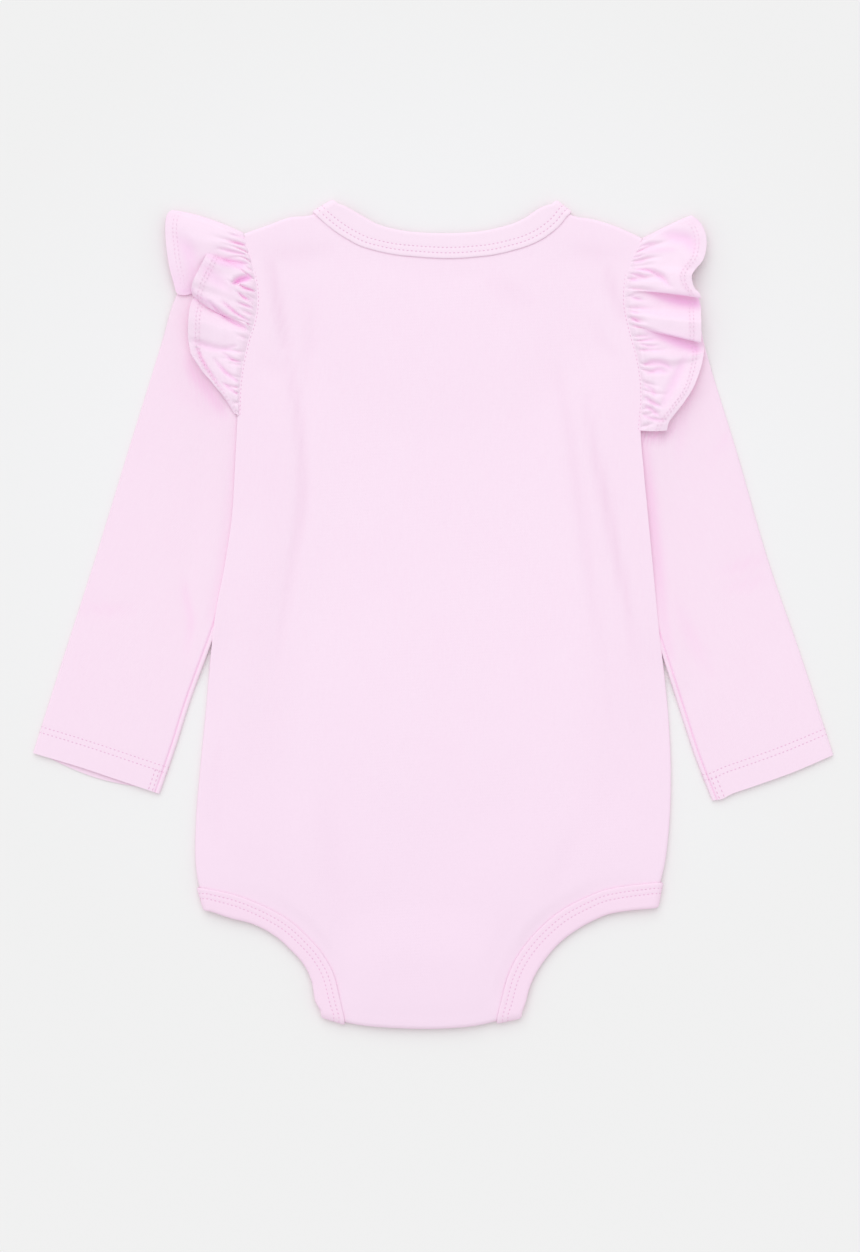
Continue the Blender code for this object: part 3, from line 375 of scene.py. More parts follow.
def paintShade(made, depth):
    # how much painted shade each point takes, for the material
    points = np.array([v.co for v in made.data.vertices]).T / mm
    marks = made.data.attributes.new("fold", "FLOAT", "POINT")
    marks.data.foreach_set("value", depth(*points).astype(np.float32))


def gridNormals(grid, closed=False):
    if closed:
        over = np.roll(grid, -1, axis=1) - np.roll(grid, 1, axis=1)
    else:
        over = np.gradient(grid, axis=1)
    return unit(np.cross(over, np.gradient(grid, axis=0)))


# a little thicker than real sewing thread, so that the stitches show
thread = {"pitch": 2.2, "length": 1.3, "radius": 0.21, "sides": 6, "pale": 0.14, "armhole": 0.15,
          # part of the stitch, thickness, rise
          "profile": [(0, 0.35, -0.22), (0.18, 0.9, 0), (0.5, 1, 0.1), (0.82, 0.9, 0),
                      (1, 0.35, -0.22)]}


def stitchRow(line, normals, pitch=None, length=None):
    # short threads laid end to end along a line on the cloth
    line, normals = np.asarray(line, float), np.asarray(normals, float)
    run = runAlong(line)
    pitch, length = pitch or thread["pitch"], length or thread["length"]
    count = max(1, int(run[-1] / pitch))
    found = []
    for k in range(count):
        middle = (k + 0.5) * run[-1] / count
        places = np.array([middle - length / 2, middle, middle + length / 2])
        found.append((placed(places, run, line), unit(placed(middle, run, normals))))
    return found


def stitchMesh(name, stitches, look, radius=thread["radius"]):
    verts, faces = [], []
    sides, profile = thread["sides"], thread["profile"]
    for points, up in stitches:
        along = unit(points[2] - points[0])
        side = unit(np.cross(up, along))
        start = len(verts)
        for part, thick, rise in profile:
            centre = points[0] + (points[2] - points[0]) * part + up * rise
            for k in range(sides):
                turn = 2 * math.pi * k / sides
                around = math.cos(turn) * side + math.sin(turn) * up
                verts.append(centre + radius * thick * around)
        for r in range(len(profile) - 1):
            for k in range(sides):
                n = (k + 1) % sides
                a = start + r * sides
                faces.append((a + k, a + n, a + sides + n, a + sides + k))
        for end in (start, start + (len(profile) - 1) * sides):
            faces.append(tuple(range(end, end + sides)))
    return finishObject(name, np.array(verts), faces, None, look)


# the cut: sizes in millimetres, heights of the middle of the cloth
fold = {"low": 1.8, "high": 5.7, "radius": 1.95, "middle": 3.75, "open": 0.6, "armholeGap": 0.5,
        "backGap": 0.05, "besideSeam": 1.5, "cloth": 1.0, "wall": 0.65, "band": 1.8, "tuck": 3.6,
        "backTop": 0.3, "frontTop": 0.15}

neck = {
    # edge x, edge y, seam x, seam y, and at the back the height
    "back": [
        (-57.4, 213.2, -68.2, 206.3, 5.7), (-50.4, 208.9, -60.9, 199.5, 5.5),
        (-43.5, 205.3, -53, 194, 5.1), (-33, 200.1, -40, 187.9, 4.6), (-17.5, 197.2, -21, 184.5, 4),
        (0.4, 196.8, 0.6, 183.6, 3.8), (18.6, 198.2, 22, 185.4, 4), (33.1, 201.7, 39.2, 189.5, 4.6),
        (42, 205.6, 49.9, 194, 5.1), (50.2, 211.3, 59.6, 201.4, 5.5), (58.2, 216, 66.6, 209.8, 5.7),
    ],
    "front": [(51.5, 204, 62.4, 198.2), (47.2, 190, 59.9, 186), (41.8, 176, 53.6, 169.8),
              (31, 160.8, 39.5, 150.6), (16, 150.3, 19.8, 137.7), (0, 147, 0, 133.6),
              (-16, 150.3, -19.8, 137.7), (-31, 160, -39.5, 149.8), (-41.8, 174.8, -53.6, 168.6),
              (-47, 188.5, -59.7, 184.5), (-51, 202, -62.6, 196.2)],
}

leg = {
    # edge x, edge y, seam x, seam y, height; front and flap: x is outward
    "back": {
        "left": [(-114.5, -158.8, -118.6, -146.6, 5.7), (-100.7, -161.7, -100.9, -148.9, 5.3),
                 (-88, -164.8, -85, -154.3, 4.6), (-76.5, -170.9, -70.4, -161.8, 4),
                 (-68.7, -177.6, -60.5, -170.1, 3.7), (-62.3, -184.3, -52.5, -178.7, 3.7),
                 (-57.7, -193, -46.2, -189.4, 4.2), (-55.4, -203.4, -42.5, -202.2, 5.2),
                 (-52.6, -212, -40, -215.6, 5.7)],
        "right": [(121.3, -150.8, 123.6, -137.2, 5.7), (105.4, -152.2, 104.8, -139.2, 5.2),
                  (95.7, -154.3, 93.5, -141.6, 4.7), (87.5, -158, 82.5, -146.4, 4.1),
                  (79.2, -163, 71.5, -152.7, 3.7), (71.1, -169.5, 61.6, -161.2, 3.4),
                  (64.3, -177.4, 53.7, -170.2, 3.3), (58.9, -185.9, 47.7, -179.6, 3.6),
                  (55.7, -193.6, 43.8, -189.1, 4.2), (53.8, -201.4, 41.4, -199, 5),
                  (52.3, -209.6, 39.3, -212.8, 5.7)],
    },
    "front": [(100, -149.5, 101.5, -137.2, 1.8), (84, -146.5, 82.5, -134.3, 1.8),
              (68, -148.5, 63.5, -137, 1.8), (55, -154.5, 47.5, -144.7, 1.8),
              (44, -163.5, 34, -156.2, 1.8), (37.5, -174.5, 26, -170.2, 2.4),
              (36.2, -186, 24, -185, 3.1), (36, -201, 23.7, -201, 3.1)],
    "flap": [(51, -195, 39.4, -195.5, 1.8), (50.5, -181, 39, -181, 1.8)],
}

body = {
    "crotch": [(-30, -213.3), (-14, -214.1), (4, -214.1), (20, -212.9), (30, -211.4)],
    "shoulder": {
        "left": [(-104, 193.8), (-91.7, 198.3), (-80, 202.9)],
        "right": [(103.9, 197), (91, 202.4), (78, 206.2)],
    },
    # x, y, back height, front height, roll radius, back turn, front turn
    "side": {
        "left": [(-119.7, -133, 5.1, 1.5, 1.8, 1, 1), (-120.1, -112, 3.4, 0.8, 1.3, 1, 1),
                 (-118.6, -84, 3.1, 0.6, 1.25, 1, 1), (-116.4, -52, 2.3, 0.5, 0.95, 0.95, 0.6),
                 (-114.9, -26, 3, 0.5, 0.95, 0.85, 0.15), (-113, -4, 5, 0.5, 1, 0.8, 0.15),
                 (-109, 20, 5.5, 0.5, 1, 0.7, 0.15), (-105.8, 46, 5.4, 0.5, 1, 0.55, 0.15),
                 (-104.8, 74, 5.4, 0.5, 1, 0.4, 0.15), (-104.2, 98, 5.3, 0.6, 1, 0.2, 0.15),
                 (-103.8, 117.5, 5.2, 0.8, 1, 0.2, 0.15), (-100.9, 135.6, 5.2, 1, 1, 0.12, 0.15),
                 (-97.2, 149, 5.2, 1.1, 1, 0.12, 0.15), (-96.2, 161, 5.2, 1.2, 1, 0.12, 0.15),
                 (-98.6, 175, 5.4, 1.5, 1, 0.12, 0.15), (-102.2, 186.5, 5.6, 1.7, 1, 0.12, 0.15)],
        "right": [
            (124.6, -125, 5.1, 1.5, 1.8, 1, 1), (126.2, -104, 3.4, 0.8, 1.3, 1, 1),
            (126.2, -80, 3.1, 0.6, 1.25, 1, 1), (124.4, -54, 2.3, 0.5, 0.95, 0.95, 0.6),
            (121.3, -29, 3, 0.5, 0.95, 0.85, 0.15), (117.8, -5, 5, 0.5, 1, 0.8, 0.15),
            (114, 25, 6, 0.5, 1, 0.65, 0.15), (110.6, 52, 6.2, 0.5, 1, 0.5, 0.15),
            (107.6, 76, 6, 0.5, 1, 0.35, 0.15), (105.4, 98, 5.3, 0.6, 1, 0.2, 0.15),
            (106.3, 117.5, 5.2, 0.8, 1, 0.2, 0.15), (103.6, 134.5, 5.2, 1, 1, 0.12, 0.15),
            (99.2, 149, 5.2, 1.1, 1, 0.12, 0.15), (96, 163, 5.2, 1.2, 1, 0.12, 0.15),
            (96.6, 178, 5.4, 1.5, 1, 0.12, 0.15), (100.4, 190, 5.6, 1.7, 1, 0.12, 0.15),
        ],
    },
    # forms hidden between the layers: x, y, reach, lift
    "underBack": [
        [(-62, 205, 12, 2.9), (-55, 186, 12, 2.9), (-48, 170, 12, 2.9), (-35, 155, 12, 2.9),
         (-18, 144, 12, 2.9), (0, 140, 12, 2.9), (18, 144, 12, 2.9), (35, 156, 12, 2.9),
         (48, 171, 12, 2.9), (55, 187, 12, 2.9), (62, 206, 12, 2.9)],
        [(-94, 88, 12, 3.5), (-97, 60, 13, 3.6), (-102, 28, 12, 3.7), (-107, 0, 9, 3.7),
         (-112, -24, 5, 3.3)],
        [(95, 88, 12, 3.5), (100, 60, 13, 3.6), (106, 28, 12, 3.7), (112, -2, 9, 3.7),
         (117, -26, 5, 3.3)],
        [(-110, -146, 13, 3.2), (-84, -140, 12, 3.2), (-66, -143, 12, 3.2), (-50, -150, 12, 3.3),
         (-38, -160, 12, 3.4), (-30, -174, 12, 3.6), (-28, -205, 13, 3.5)],
        [(112, -140, 13, 3.2), (84, -140, 12, 3.2), (66, -143, 12, 3.2), (50, -150, 12, 3.3),
         (38, -160, 12, 3.4), (30, -174, 12, 3.6), (28, -205, 13, 3.5)],
        [(-20, -190, 16, 3.2), (20, -190, 16, 3.2)],
    ],
    "underFront": [
        [(-24, -194, 19, 2.6), (24, -194, 19, 2.6)],
    ],
    "hiddenLess": 0.7, "backFade": 42.0, "frontFade": 15.0,
    "tabRoot": 0.768, "flapRest": 0.5, "flapTurn": 0.22, "studSeat": 0.9,
    # stud seat, its end, tab binding, flap binding
    "spans": [0.0, 19.4, 24.5, 35.6, 37.4],
}


def foldAxis(row, beside):
    # the section at a fold, moved in so that the folded binding ends at the row; the strip runs on
    # in its own direction, slant, and turns about the row, out
    edge, seam = np.array(row[:2], float), np.array(row[2:4], float)
    across = unit(seam - edge)
    out = np.array([-across[1], across[0]])
    out = out * np.sign(np.dot(out, edge))
    along = edge + seam - np.array(beside[:2]) - np.array(beside[2:4])
    slant = along / np.dot(along, out)
    inset = fold["radius"] * slant + fold["band"] * out
    return np.concatenate([edge - inset, seam - inset, row[4:5]]), (slant, out)


def neckRows():
    left, leftFold = foldAxis(*neck["back"][:2])
    right, rightFold = foldAxis(*neck["back"][:-3:-1])
    front = [(*row[:4], fold["low"]) for row in (right, *neck["front"], left)]
    return [left, *neck["back"][1:-1], right], front, leftFold, rightFold


def legRows(side):
    table, s = leg["back"][side], sign[side]
    corner, sideFold = foldAxis(*table[:2])
    crotch, crotchFold = foldAxis(*table[:-3:-1])
    front, flap = (
        [(*end[:4], fold["low"]), *((s * a, b, s * c, d, h) for a, b, c, d, h in leg[key])]
        for end, key in ((corner, "front"), (crotch, "flap")))
    return [corner, *table[1:-1], crotch], front, flap, sideFold, crotchFold


def tucked(rows):
    # where the cloth's edge lies inside the binding: x, y, height
    rows = np.array(rows, float)
    across = unit(rows[:, 2:4] - rows[:, :2])
    return np.column_stack([rows[:, :2] + fold["tuck"] * across, rows[:, 4]])


def fullTurn(radius):
    # how far a layer rolls round before it meets the other one
    return np.arccos(fold["open"] / 2 / np.asarray(radius, float))


def sideLine(side, front):
    # a layer's side, from the leg up: x, y, height, roll radius, turn and the way out
    corner = legRows(side)[0][0]
    rows = np.array(body["side"][side], float)
    out = outward(rows) * -sign[side]
    height, turn, radius = rows[:, 3 if front else 2], rows[:, 6 if front else 5], rows[:, 4]
    spread = np.sin(turn * fullTurn(radius))
    gap = fold["armholeGap" if front else "backGap"]
    inset = (radius + fold["cloth"] / 2) * spread + gap * (1 - spread)
    line = np.column_stack([rows[:, :2] - inset[:, None] * out, height, radius, turn, out])
    level = fold["low"] if front else fold["high"]
    slant = legRows(side)[3][0]
    start = tucked([corner])[0]
    first = [start[0], start[1], level, fold["radius"], 1.0, *slant]
    second = [corner[2], corner[3], level, fold["radius"], 1.0, *slant]
    top = shoulderLine(side)[0]
    last = [top[0], top[1], level, 1.0, fold["frontTop" if front else "backTop"], *out[-1]]
    return np.vstack([first, second, line, last])


def shoulderLine(side):
    # from the armhole to under the neck's binding: x, y and the way out
    back, _, leftFold, rightFold = neckRows()
    rows = np.array(body["shoulder"][side], float)
    out = outward(rows) * -sign[side]
    base = rows - (fold["radius"] + fold["cloth"] / 2) * out
    base[0] -= sign[side] * np.array([fold["armholeGap"], 0.0])
    tip, slant = (back[0], leftFold[0]) if side == "left" else (back[-1], rightFold[0])
    inside = tucked([tip])[0]
    beside = tip[2:4] + fold["besideSeam"] * unit(tip[2:4] - tip[:2])
    return np.vstack([np.column_stack([base, out]), [*beside, *slant], [*inside[:2], *slant]])


# how many points each stretch has
detail = {"shoulder": 11, "tip": 3, "neck": 73, "leg": 30, "crotch": 4, "edge": 90,
          "rows": 150, "roll": 7, "flap": 24, "tab": 20,
          # where they start to be closer, and how many before and after
          "sleeveRows": (0.9, 64, 30), "sleeveColumns": (0.88, 30, 16)}


def shoulderPoints(side):
    line = shoulderLine(side)
    run = runAlong(line[:, :2])
    points = smooth(line, np.linspace(0, run[-2] / run[-1], detail["shoulder"]))
    tip = [line[-2] + (line[-1] - line[-2]) * (k + 1) / detail["tip"] for k in range(detail["tip"])]
    return np.vstack([points[:-1], line[-2], tip])


def crotchPlaces():
    # x of each column between the legs, closer together at the studs and bindings
    spans = [*body["spans"], tucked(legRows("right")[2])[-1, 0]]
    coarse = np.array([-x for x in spans[::-1]] + spans[1:])
    steps = len(coarse) - 1
    wanted = np.linspace(0, steps, steps * detail["crotch"] + 1)
    return np.interp(wanted, np.arange(steps + 1), coarse)


def crotchParts():
    places = crotchPlaces()
    return (places - places[0]) / (places[-1] - places[0])


def across(left, right):
    return left + (right - left) * crotchParts()[:, None]


def topLine(front):
    backRows, frontRows, _, _ = neckRows()
    rows = tucked(frontRows)[::-1] if front else tucked(backRows)
    left, right = shoulderPoints("left")[:, :2], shoulderPoints("right")[::-1, :2]
    level = np.full((len(left), 1), fold["low"] if front else fold["high"])
    middle = smooth(rows, np.linspace(0, 1, detail["neck"]))[1:-1]
    return np.vstack([np.hstack([left, level]), middle, np.hstack([right, level])])


def bottomLine(front):
    parts = np.linspace(0, body["tabRoot"] if front else 1, detail["leg"])
    left, right = (smooth(tucked(legRows(side)[1 if front else 0]), parts) for side in sign)
    if front:
        middle = across(left[-1], right[-1])
    else:
        ends = {side: legRows(side)[0][-1] for side in sign}
        points = [tucked([ends["left"]])[0][:2], ends["left"][2:4], *body["crotch"],
                  ends["right"][2:4], tucked([ends["right"]])[0][:2]]
        middle = smooth([tuple(p) for p in points], crotchParts())
        middle = np.column_stack([middle, np.full(len(middle), fold["high"])])
    return np.vstack([left, middle[1:-1], right[::-1]])


def patch(bottom, top, left, right, v):
    # a sheet stretched evenly between its four edges
    runs = [runAlong(line[:, :2]) for line in (bottom, top)]
    u = (sum(run / run[-1] for run in runs) / 2)[None, :, None]
    v = np.array(v)[:, None, None]
    b, t, l, r = bottom[None, :, :2], top[None, :, :2], left[:, None, :2], right[:, None, :2]
    return ((1 - v) * b + v * t + (1 - u) * l + u * r
            - (1 - u) * (1 - v) * b[:, :1] - u * (1 - v) * b[:, -1:]
            - (1 - u) * v * t[:, :1] - u * v * t[:, -1:])


creases = {
    # x, y, half width, depth
    "back": [
        [(-91.5, 184, 2.8, 0.5), (-88.9, 175.7, 2.8, 1.4), (-84.6, 156, 3, 1.9),
         (-80.2, 135.8, 3.2, 1.3)],
        [(-92, 132, 6, 0.3), (-87, 126, 7, 0.6), (-79, 118, 6, 0.5), (-77, 100, 5, 0.3)],
        [(-71, 160, 4, 0.2), (-68, 146, 4, 0.6), (-70, 122, 4, 0.5), (-70, 104, 4, 0.2)],
        [(-79.7, 131.7, 3.2, 0.8), (-72.7, 99.7, 3.2, 1.6), (-69.5, 55.6, 3.3, 1.6),
         (-74.5, 19.3, 3.6, 1.1), (-79, -12, 3.8, 0.8), (-83, -40, 4, 0.3)],
        [(61.3, 128, 3.4, 0.2), (66.6, 104, 3.4, 0.8), (70.4, 83.6, 3.4, 1), (77.6, 39.6, 3.6, 1),
         (84, 3, 4, 0.8), (91.7, -32.4, 4.2, 0.6), (101.7, -104.5, 4.5, 0.3)],
        [(76.3, 114, 2.8, 0.5), (81, 88, 3, 1.4), (89.3, 56, 3.2, 2), (95.5, 28, 3.2, 1.9),
         (102.5, 0, 3.4, 1.3), (107.8, -31.9, 3.4, 0.5)],
        [(85.8, 182.5, 3, 0.5), (88.6, 170, 3.2, 1.5), (94.5, 156.6, 3.4, 1.1)],
        [(80, 154, 4, 0.2), (84.5, 142, 4, 0.6), (92, 135, 4, 0.4)],
        [(-53.5, -100, 7, 0.2), (-48.5, -128, 7.5, 1), (-44.8, -155, 7, 1.2),
         (-38.4, -196.8, 6, 0.6)],
        [(78, -108, 6, 0.2), (73, -126, 6, 0.8), (66, -146, 6, 0.5)],
        [(47, -158, 6, 0.4), (42, -172, 6, 0.9), (36, -190, 6, 0.4)],
        [(-111, -46, 2.6, 0.2), (-110, -84, 2.8, 0.8), (-109, -112, 2.8, 0.9),
         (-108.6, -132, 2.8, 0.3)],
        [(-93, 187, 5.5, 0.5), (-78, 184, 5.5, 0.7), (-62, 186, 5, 0.4)],
        [(70, 190, 5.5, 0.3), (80, 188, 5.5, 0.6), (92, 190, 5, 0.3)],
        [(24, 174, 6, 0.2), (34, 168, 6.5, 0.5), (44, 160, 6, 0.2)],
    ],
    # on the sleeves: dips in the cloth, also painted darker as shade; those below the ruffles' hems
    # and beside the body's edges stand for the shadows those edges cast, painted and also dipped
    # into the cloth
    "left": [
        [(-104.5, 96, 3, 0.2), (-106.5, 60, 3, 0.3), (-110.5, 20, 3, 0.4), (-114.5, -6, 3, 0.4)],
        [(-131, 128, 2.6, 0.5), (-127.5, 120.5, 3.4, 1.6), (-121.5, 113.5, 3.6, 1.9),
         (-115, 105.5, 3.2, 1.9), (-110, 99.5, 2, 0.8)],
        [(-129.9, 14, 2.2, 0.2), (-128, 3, 2.4, 0.8), (-125.4, -8, 2.4, 0.8),
         (-127.3, -24, 2.4, 0.3)],
        [(-184, -1, 3, 0.2), (-170, -3.5, 3.2, 0.5), (-156, -3, 3, 0.2)],
        [(-136, 112, 5, 0.2), (-124, 106, 5, 0.5), (-114, 96, 5, 0.2)],
    ],
    "right": [
        [(106, 94, 3.5, 0.7), (111.6, 60, 3.6, 1.4), (116.4, 25, 3.6, 1.3), (120, 0, 3.4, 0.8),
         (123.5, -20, 3, 0.7)],
        [(106, 95, 2.2, 2), (113, 94.6, 2.4, 2.2), (119.5, 96.4, 2.2, 1.5), (126, 106, 2.2, 0.8),
         (134, 119, 2.2, 0.5)],
        [(130.6, 140, 2.4, 0.2), (129.6, 120, 2.6, 0.8), (127, 100, 2.6, 0.5), (125, 84, 2.6, 0.2)],
        [(148, 25, 3, 0.2), (160, 28.5, 3, 0.6), (171, 33, 3, 0.3)],
        [(152, 16, 3, 0.2), (164, 19, 3, 0.5), (173, 23, 2.6, 0.2)],
        [(126, 8, 4, 0.3), (135, -10, 4, 0.6), (145, -28, 4, 0.2)],
        [(150, 94, 3, 0.5), (146, 88, 3, 0.3), (141, 84, 3, 0.1)],
    ],
    # how deep creases dip the cloth, and how much painted shade they take on the back and on the
    # sleeves
    "dip": 1.1, "backShade": 0.2, "sleeveShade": 0.2,
    # painted shade also darkens the back a little toward its sides
    "sideShade": 0.07, "middle": (3, -10), "sideFrom": 66, "sideFade": 22,
    "endFrom": 170, "endFade": 60,
}

# how each layer comes down to its edges: holds and fades from the edge
layers = {
    "front": {"rest": 0.5, "level": fold["low"], "fade": 12.0, "sideHold": 4.0, "legHold": 14.5},
    "back": {"rest": 2.7, "level": fold["high"], "fade": 22.0, "sideHold": 0.5, "legHold": 10.0},
    "shoulderHold": 3.0, "neckHold": 14.5, "neckFade": 12.0, "legFade": 6.5, "blur": 40,
    "shelf": {"high": 0.5, "wide": 8, "fade": 26},
    # height, length, seed
    "waves": [(0.12, 130, 1.7), (0.015, 17, 2.9)],
}


def pulled(plan, z, line, hold, fade):
    away, nearest = nearestOn(plan, line)
    return z + (line[nearest, 2] - z) * ease(1 - (away - hold) / fade)


def panelHeights(plan, front):
    fine = np.linspace(0, 1, detail["edge"])
    x, y = plan[..., 0], plan[..., 1]
    layer = layers["front" if front else "back"]
    if front:
        z = layer["rest"] + lift(x, y, body["underFront"], body["frontFade"])
    else:
        z = layer["rest"] + lift(x, y, body["underBack"], body["backFade"], body["hiddenLess"])
        z = blurred(z, layers["blur"]) - trough(x, y, creases["back"])
        for high, length, seed in layers["waves"]:
            z = z + high * slack(x, y, length, seed)
    for side in sign:
        line = smooth(sideLine(side, front), fine)
        if not front:
            # a low shelf beside the fold, where the seam holds the cloth up
            shelf, away = layers["shelf"], nearestOn(plan, line)[0]
            z = z + (shelf["high"] * ease(away / shelf["wide"])
                     * ease(1 - (away - shelf["wide"]) / shelf["fade"]))
        z = pulled(plan, z, line, layer["sideHold"], layer["fade"])
        shoulder = smooth(shoulderLine(side), fine)
        shoulder[:, 2] = layer["level"]
        z = pulled(plan, z, shoulder, layers["shoulderHold"], layer["fade"])
    neckEdge = smooth(tucked(neckRows()[1 if front else 0]), fine)
    z = pulled(plan, z, neckEdge, layers["neckHold"], layers["neckFade"])
    for side in sign:
        legEdge = smooth(tucked(legRows(side)[1 if front else 0]), fine)
        z = pulled(plan, z, legEdge, layer["legHold"], layers["legFade"])
    return np.maximum(z, layer["rest"] if front else layer["rest"] - creases["dip"])


def turned(base, out, height, radius, angle, down):
    # a line of the roll at the cloth's edge
    bend = radius * (1 - np.cos(angle))
    return np.column_stack([base + (radius * np.sin(angle))[:, None] * out,
                            height - bend if down else height + bend])


def panelGrid(front):
    # the sheet, the rolls at its sides and shoulders, and its part between the legs
    top, bottom = topLine(front), bottomLine(front)
    v = np.linspace(0, 1, detail["rows"])
    sides = {side: smooth(sideLine(side, front), v) for side in sign}
    plan = patch(bottom, top, sides["left"], sides["right"], v)
    z = panelHeights(plan, front)
    z[:, 0], z[:, -1] = sides["left"][:, 2], sides["right"][:, 2]
    z[-1], z[0] = top[:, 2], bottom[:, 2]
    rows, columns = z.shape
    first = detail["leg"] - 1
    below = tabRows() if front else flapRows(bottom[first:columns - first])
    roll, flap = detail["roll"], len(below)
    grid = np.full((flap + rows + roll, roll + columns + roll, 3), np.nan)
    grid[flap:flap + rows, roll:roll + columns] = np.dstack([plan, z])
    grid[:flap, roll + first:roll + columns - first] = below
    for side in sign:
        edge, line = sides[side], shoulderPoints(side)
        place = slice(roll, roll + len(line))
        if side == "right":
            line, place = line[::-1], slice(roll + columns - len(line), roll + columns)
        radius = np.full(len(line), fold["radius"])
        height = np.full(len(line), fold["low"] if front else fold["high"])
        for step in range(1, roll + 1):
            part = step / roll
            column = roll - step if side == "left" else roll + columns - 1 + step
            grid[flap:flap + rows, column] = turned(
                edge[:, :2], edge[:, 5:7], edge[:, 2], edge[:, 3],
                fullTurn(edge[:, 3]) * edge[:, 4] * part, not front)
            grid[flap + rows - 1 + step, place] = turned(
                line[:, :2], line[:, 2:4], height, radius, fullTurn(radius) * part, not front)
    return grid


def tabRows():
    # the front's tab between the legs, which takes the studs
    sides = [tucked(legRows(side)[1]) for side in sign]
    parts = np.linspace(body["tabRoot"], 1, detail["tab"] + 1)[1:]
    return np.array([across(*(smooth(line, [p])[0] for line in sides)) for p in parts[::-1]])


def flapRows(crotch):
    # the back's flap, folded forward under the tab
    _, seated, seatEnd, tabEdge, flapSeam = body["spans"]
    sides = [tucked(legRows(side)[2]) for side in sign]
    middle = np.abs(crotchPlaces())
    seat = body["studSeat"] * ease((seatEnd - middle) / (seatEnd - seated))
    bound = ease((middle - tabEdge) / (flapSeam - tabEdge))
    target = (body["flapRest"] + seat) * (1 - bound) + fold["low"] * bound
    found = []
    for p in np.linspace(0, 1, detail["flap"] + 1)[:0:-1]:
        line = across(*(smooth(side, [p])[0] for side in sides))
        line[:, 2] = fold["low"] + (target - fold["low"]) * ease(p / body["flapTurn"])
        found.append(line)
    found.append(np.column_stack([crotch[:, :2], np.full(len(crotch), fold["low"])]))
    # the roll at the crotch, from the lower layer up
    for angle in range(165, 0, -15):
        turn = math.radians(angle)
        height = fold["middle"] + fold["radius"] * math.cos(turn)
        found.append(np.column_stack([crotch[:, 0], crotch[:, 1] - fold["radius"] * math.sin(turn),
                                      np.full(len(crotch), height)]))
    return np.array(found)


def cutHoles(made):
    cutters = []
    for x, y in studs["places"]:
        bpy.ops.mesh.primitive_cylinder_add(
            vertices=studs["sides"], radius=studs["hole"] * mm, depth=studs["cut"] * mm,
            location=(x * mm, y * mm, studs["cutMiddle"] * mm))
        cutters.append(bpy.context.object)
    bpy.ops.object.select_all(action="DESELECT")
    for cutter in cutters:
        cutter.select_set(True)
    bpy.context.view_layer.objects.active = cutters[0]
    bpy.ops.object.join()
    cutter = bpy.context.object
    cut = made.modifiers.new("Holes", "BOOLEAN")
    cut.object, cut.operation, cut.solver = cutter, "DIFFERENCE", "EXACT"
    applyModifiers(made)
    bpy.data.objects.remove(cutter, do_unlink=True)


print("panels")
backPanel = clothSheet("backPanel", panelGrid(False), colours["body"], planUv=True)
frontPanel = clothSheet("frontPanel", panelGrid(True), colours["body"], planUv=True)
for panel in (backPanel, frontPanel):
    cutHoles(panel)
middleX, middleY = creases["middle"]
# painted shade on the back, along its creases and a little toward its sides
paintShade(backPanel, lambda x, y, z: np.maximum(
    creases["backShade"] * trough(x, y, creases["back"]),
    creases["sideShade"] * ease((np.abs(x - middleX) - creases["sideFrom"]) / creases["sideFade"])
    * ease((creases["endFrom"] - np.abs(y - middleY)) / creases["endFade"])))


band = {
    "groove": 0.16, "grooveWidth": 0.75, "rows": [2.9, 5.7], "inner": 0.8, "bend": 1.9,
    "edge": 0.35, "edgeWidth": 0.5, "points": 24,
    # how many sections each length has
    "neckBack": 90, "neckFront": 130, "legFlap": 20, "leg": 80,
}


def bandSection(width):
    # across from the fold, out from the middle: outside, round the fold, outside again, then inside
    out, inner, bend = fold["band"], band["inner"], band["bend"]
    flat = np.linspace(width, bend, band["points"])
    groove = sum(np.exp(-((width - flat - r) / band["grooveWidth"]) ** 2) for r in band["rows"])
    edge = band["edge"] * np.exp(-((width - flat) / band["edgeWidth"]) ** 2)
    top = [(w, out - band["groove"] * g - e) for w, g, e in zip(flat, groove, edge)]
    turn = [(bend * (1 - math.cos(a)), out * math.sin(a)) for a in np.linspace(1.3, -1.3, 11)]
    under = [(w, -n) for w, n in top[::-1]]
    # the strip's inner face, hollow for the cloth that it binds
    inside = [(width, -inner), (2.4, -inner), (1.7, -0.5), (1.5, 0.0), (1.7, 0.5), (2.4, inner),
              (width, inner)]
    return top + turn + under + inside


def flatSections(rows, count, up):
    # each section is an edge point, the width across, and the way out
    found = []
    for ex, ey, sx, sy, z in smooth(rows, np.linspace(0, 1, count)):
        found.append((np.array([ex, ey, z]), np.array([sx - ex, sy - ey, 0.0]),
                      np.array([0.0, 0.0, up])))
    return found


def foldSections(row, turning, toFront):
    slant, out = turning
    edge = np.array([row[0], row[1], fold["middle"]])
    width = np.array([row[2] - row[0], row[3] - row[1], 0.0])
    turns = [math.radians(a) for a in range(12, 180, 12)]
    found = []
    for turn in turns if toFront else turns[::-1]:
        s, c = math.sin(turn), math.cos(turn)
        found.append((edge + fold["radius"] * np.array([s * slant[0], s * slant[1], c]), width,
                      np.array([s * out[0], s * out[1], c])))
    return found


def binding(name, sections, ring, look):
    rings = []
    for edge, width, normal in sections:
        wide = float(np.linalg.norm(width))
        rings.append([edge + width / wide * w + normal * n for w, n in bandSection(wide)])
    rings = np.array(rings)
    count, size = rings.shape[:2]
    index = np.arange(count * size).reshape(count, size)
    follow = np.roll(index, -1, axis=0) if ring else index[1:]
    here = index if ring else index[:-1]
    quads = np.stack([here, np.roll(here, -1, axis=1), np.roll(follow, -1, axis=1), follow],
                     axis=-1)
    faces = [tuple(map(int, q)) for q in quads.reshape(-1, 4)]
    if not ring:
        faces += [tuple(map(int, index[0])), tuple(map(int, index[-1][::-1]))]
    uvs = np.dstack(np.meshgrid(runAlong(rings[0]), runAlong(rings[:, 0])))
    return finishObject(name, rings.reshape(-1, 3), faces, uvs.reshape(-1, 2), look)


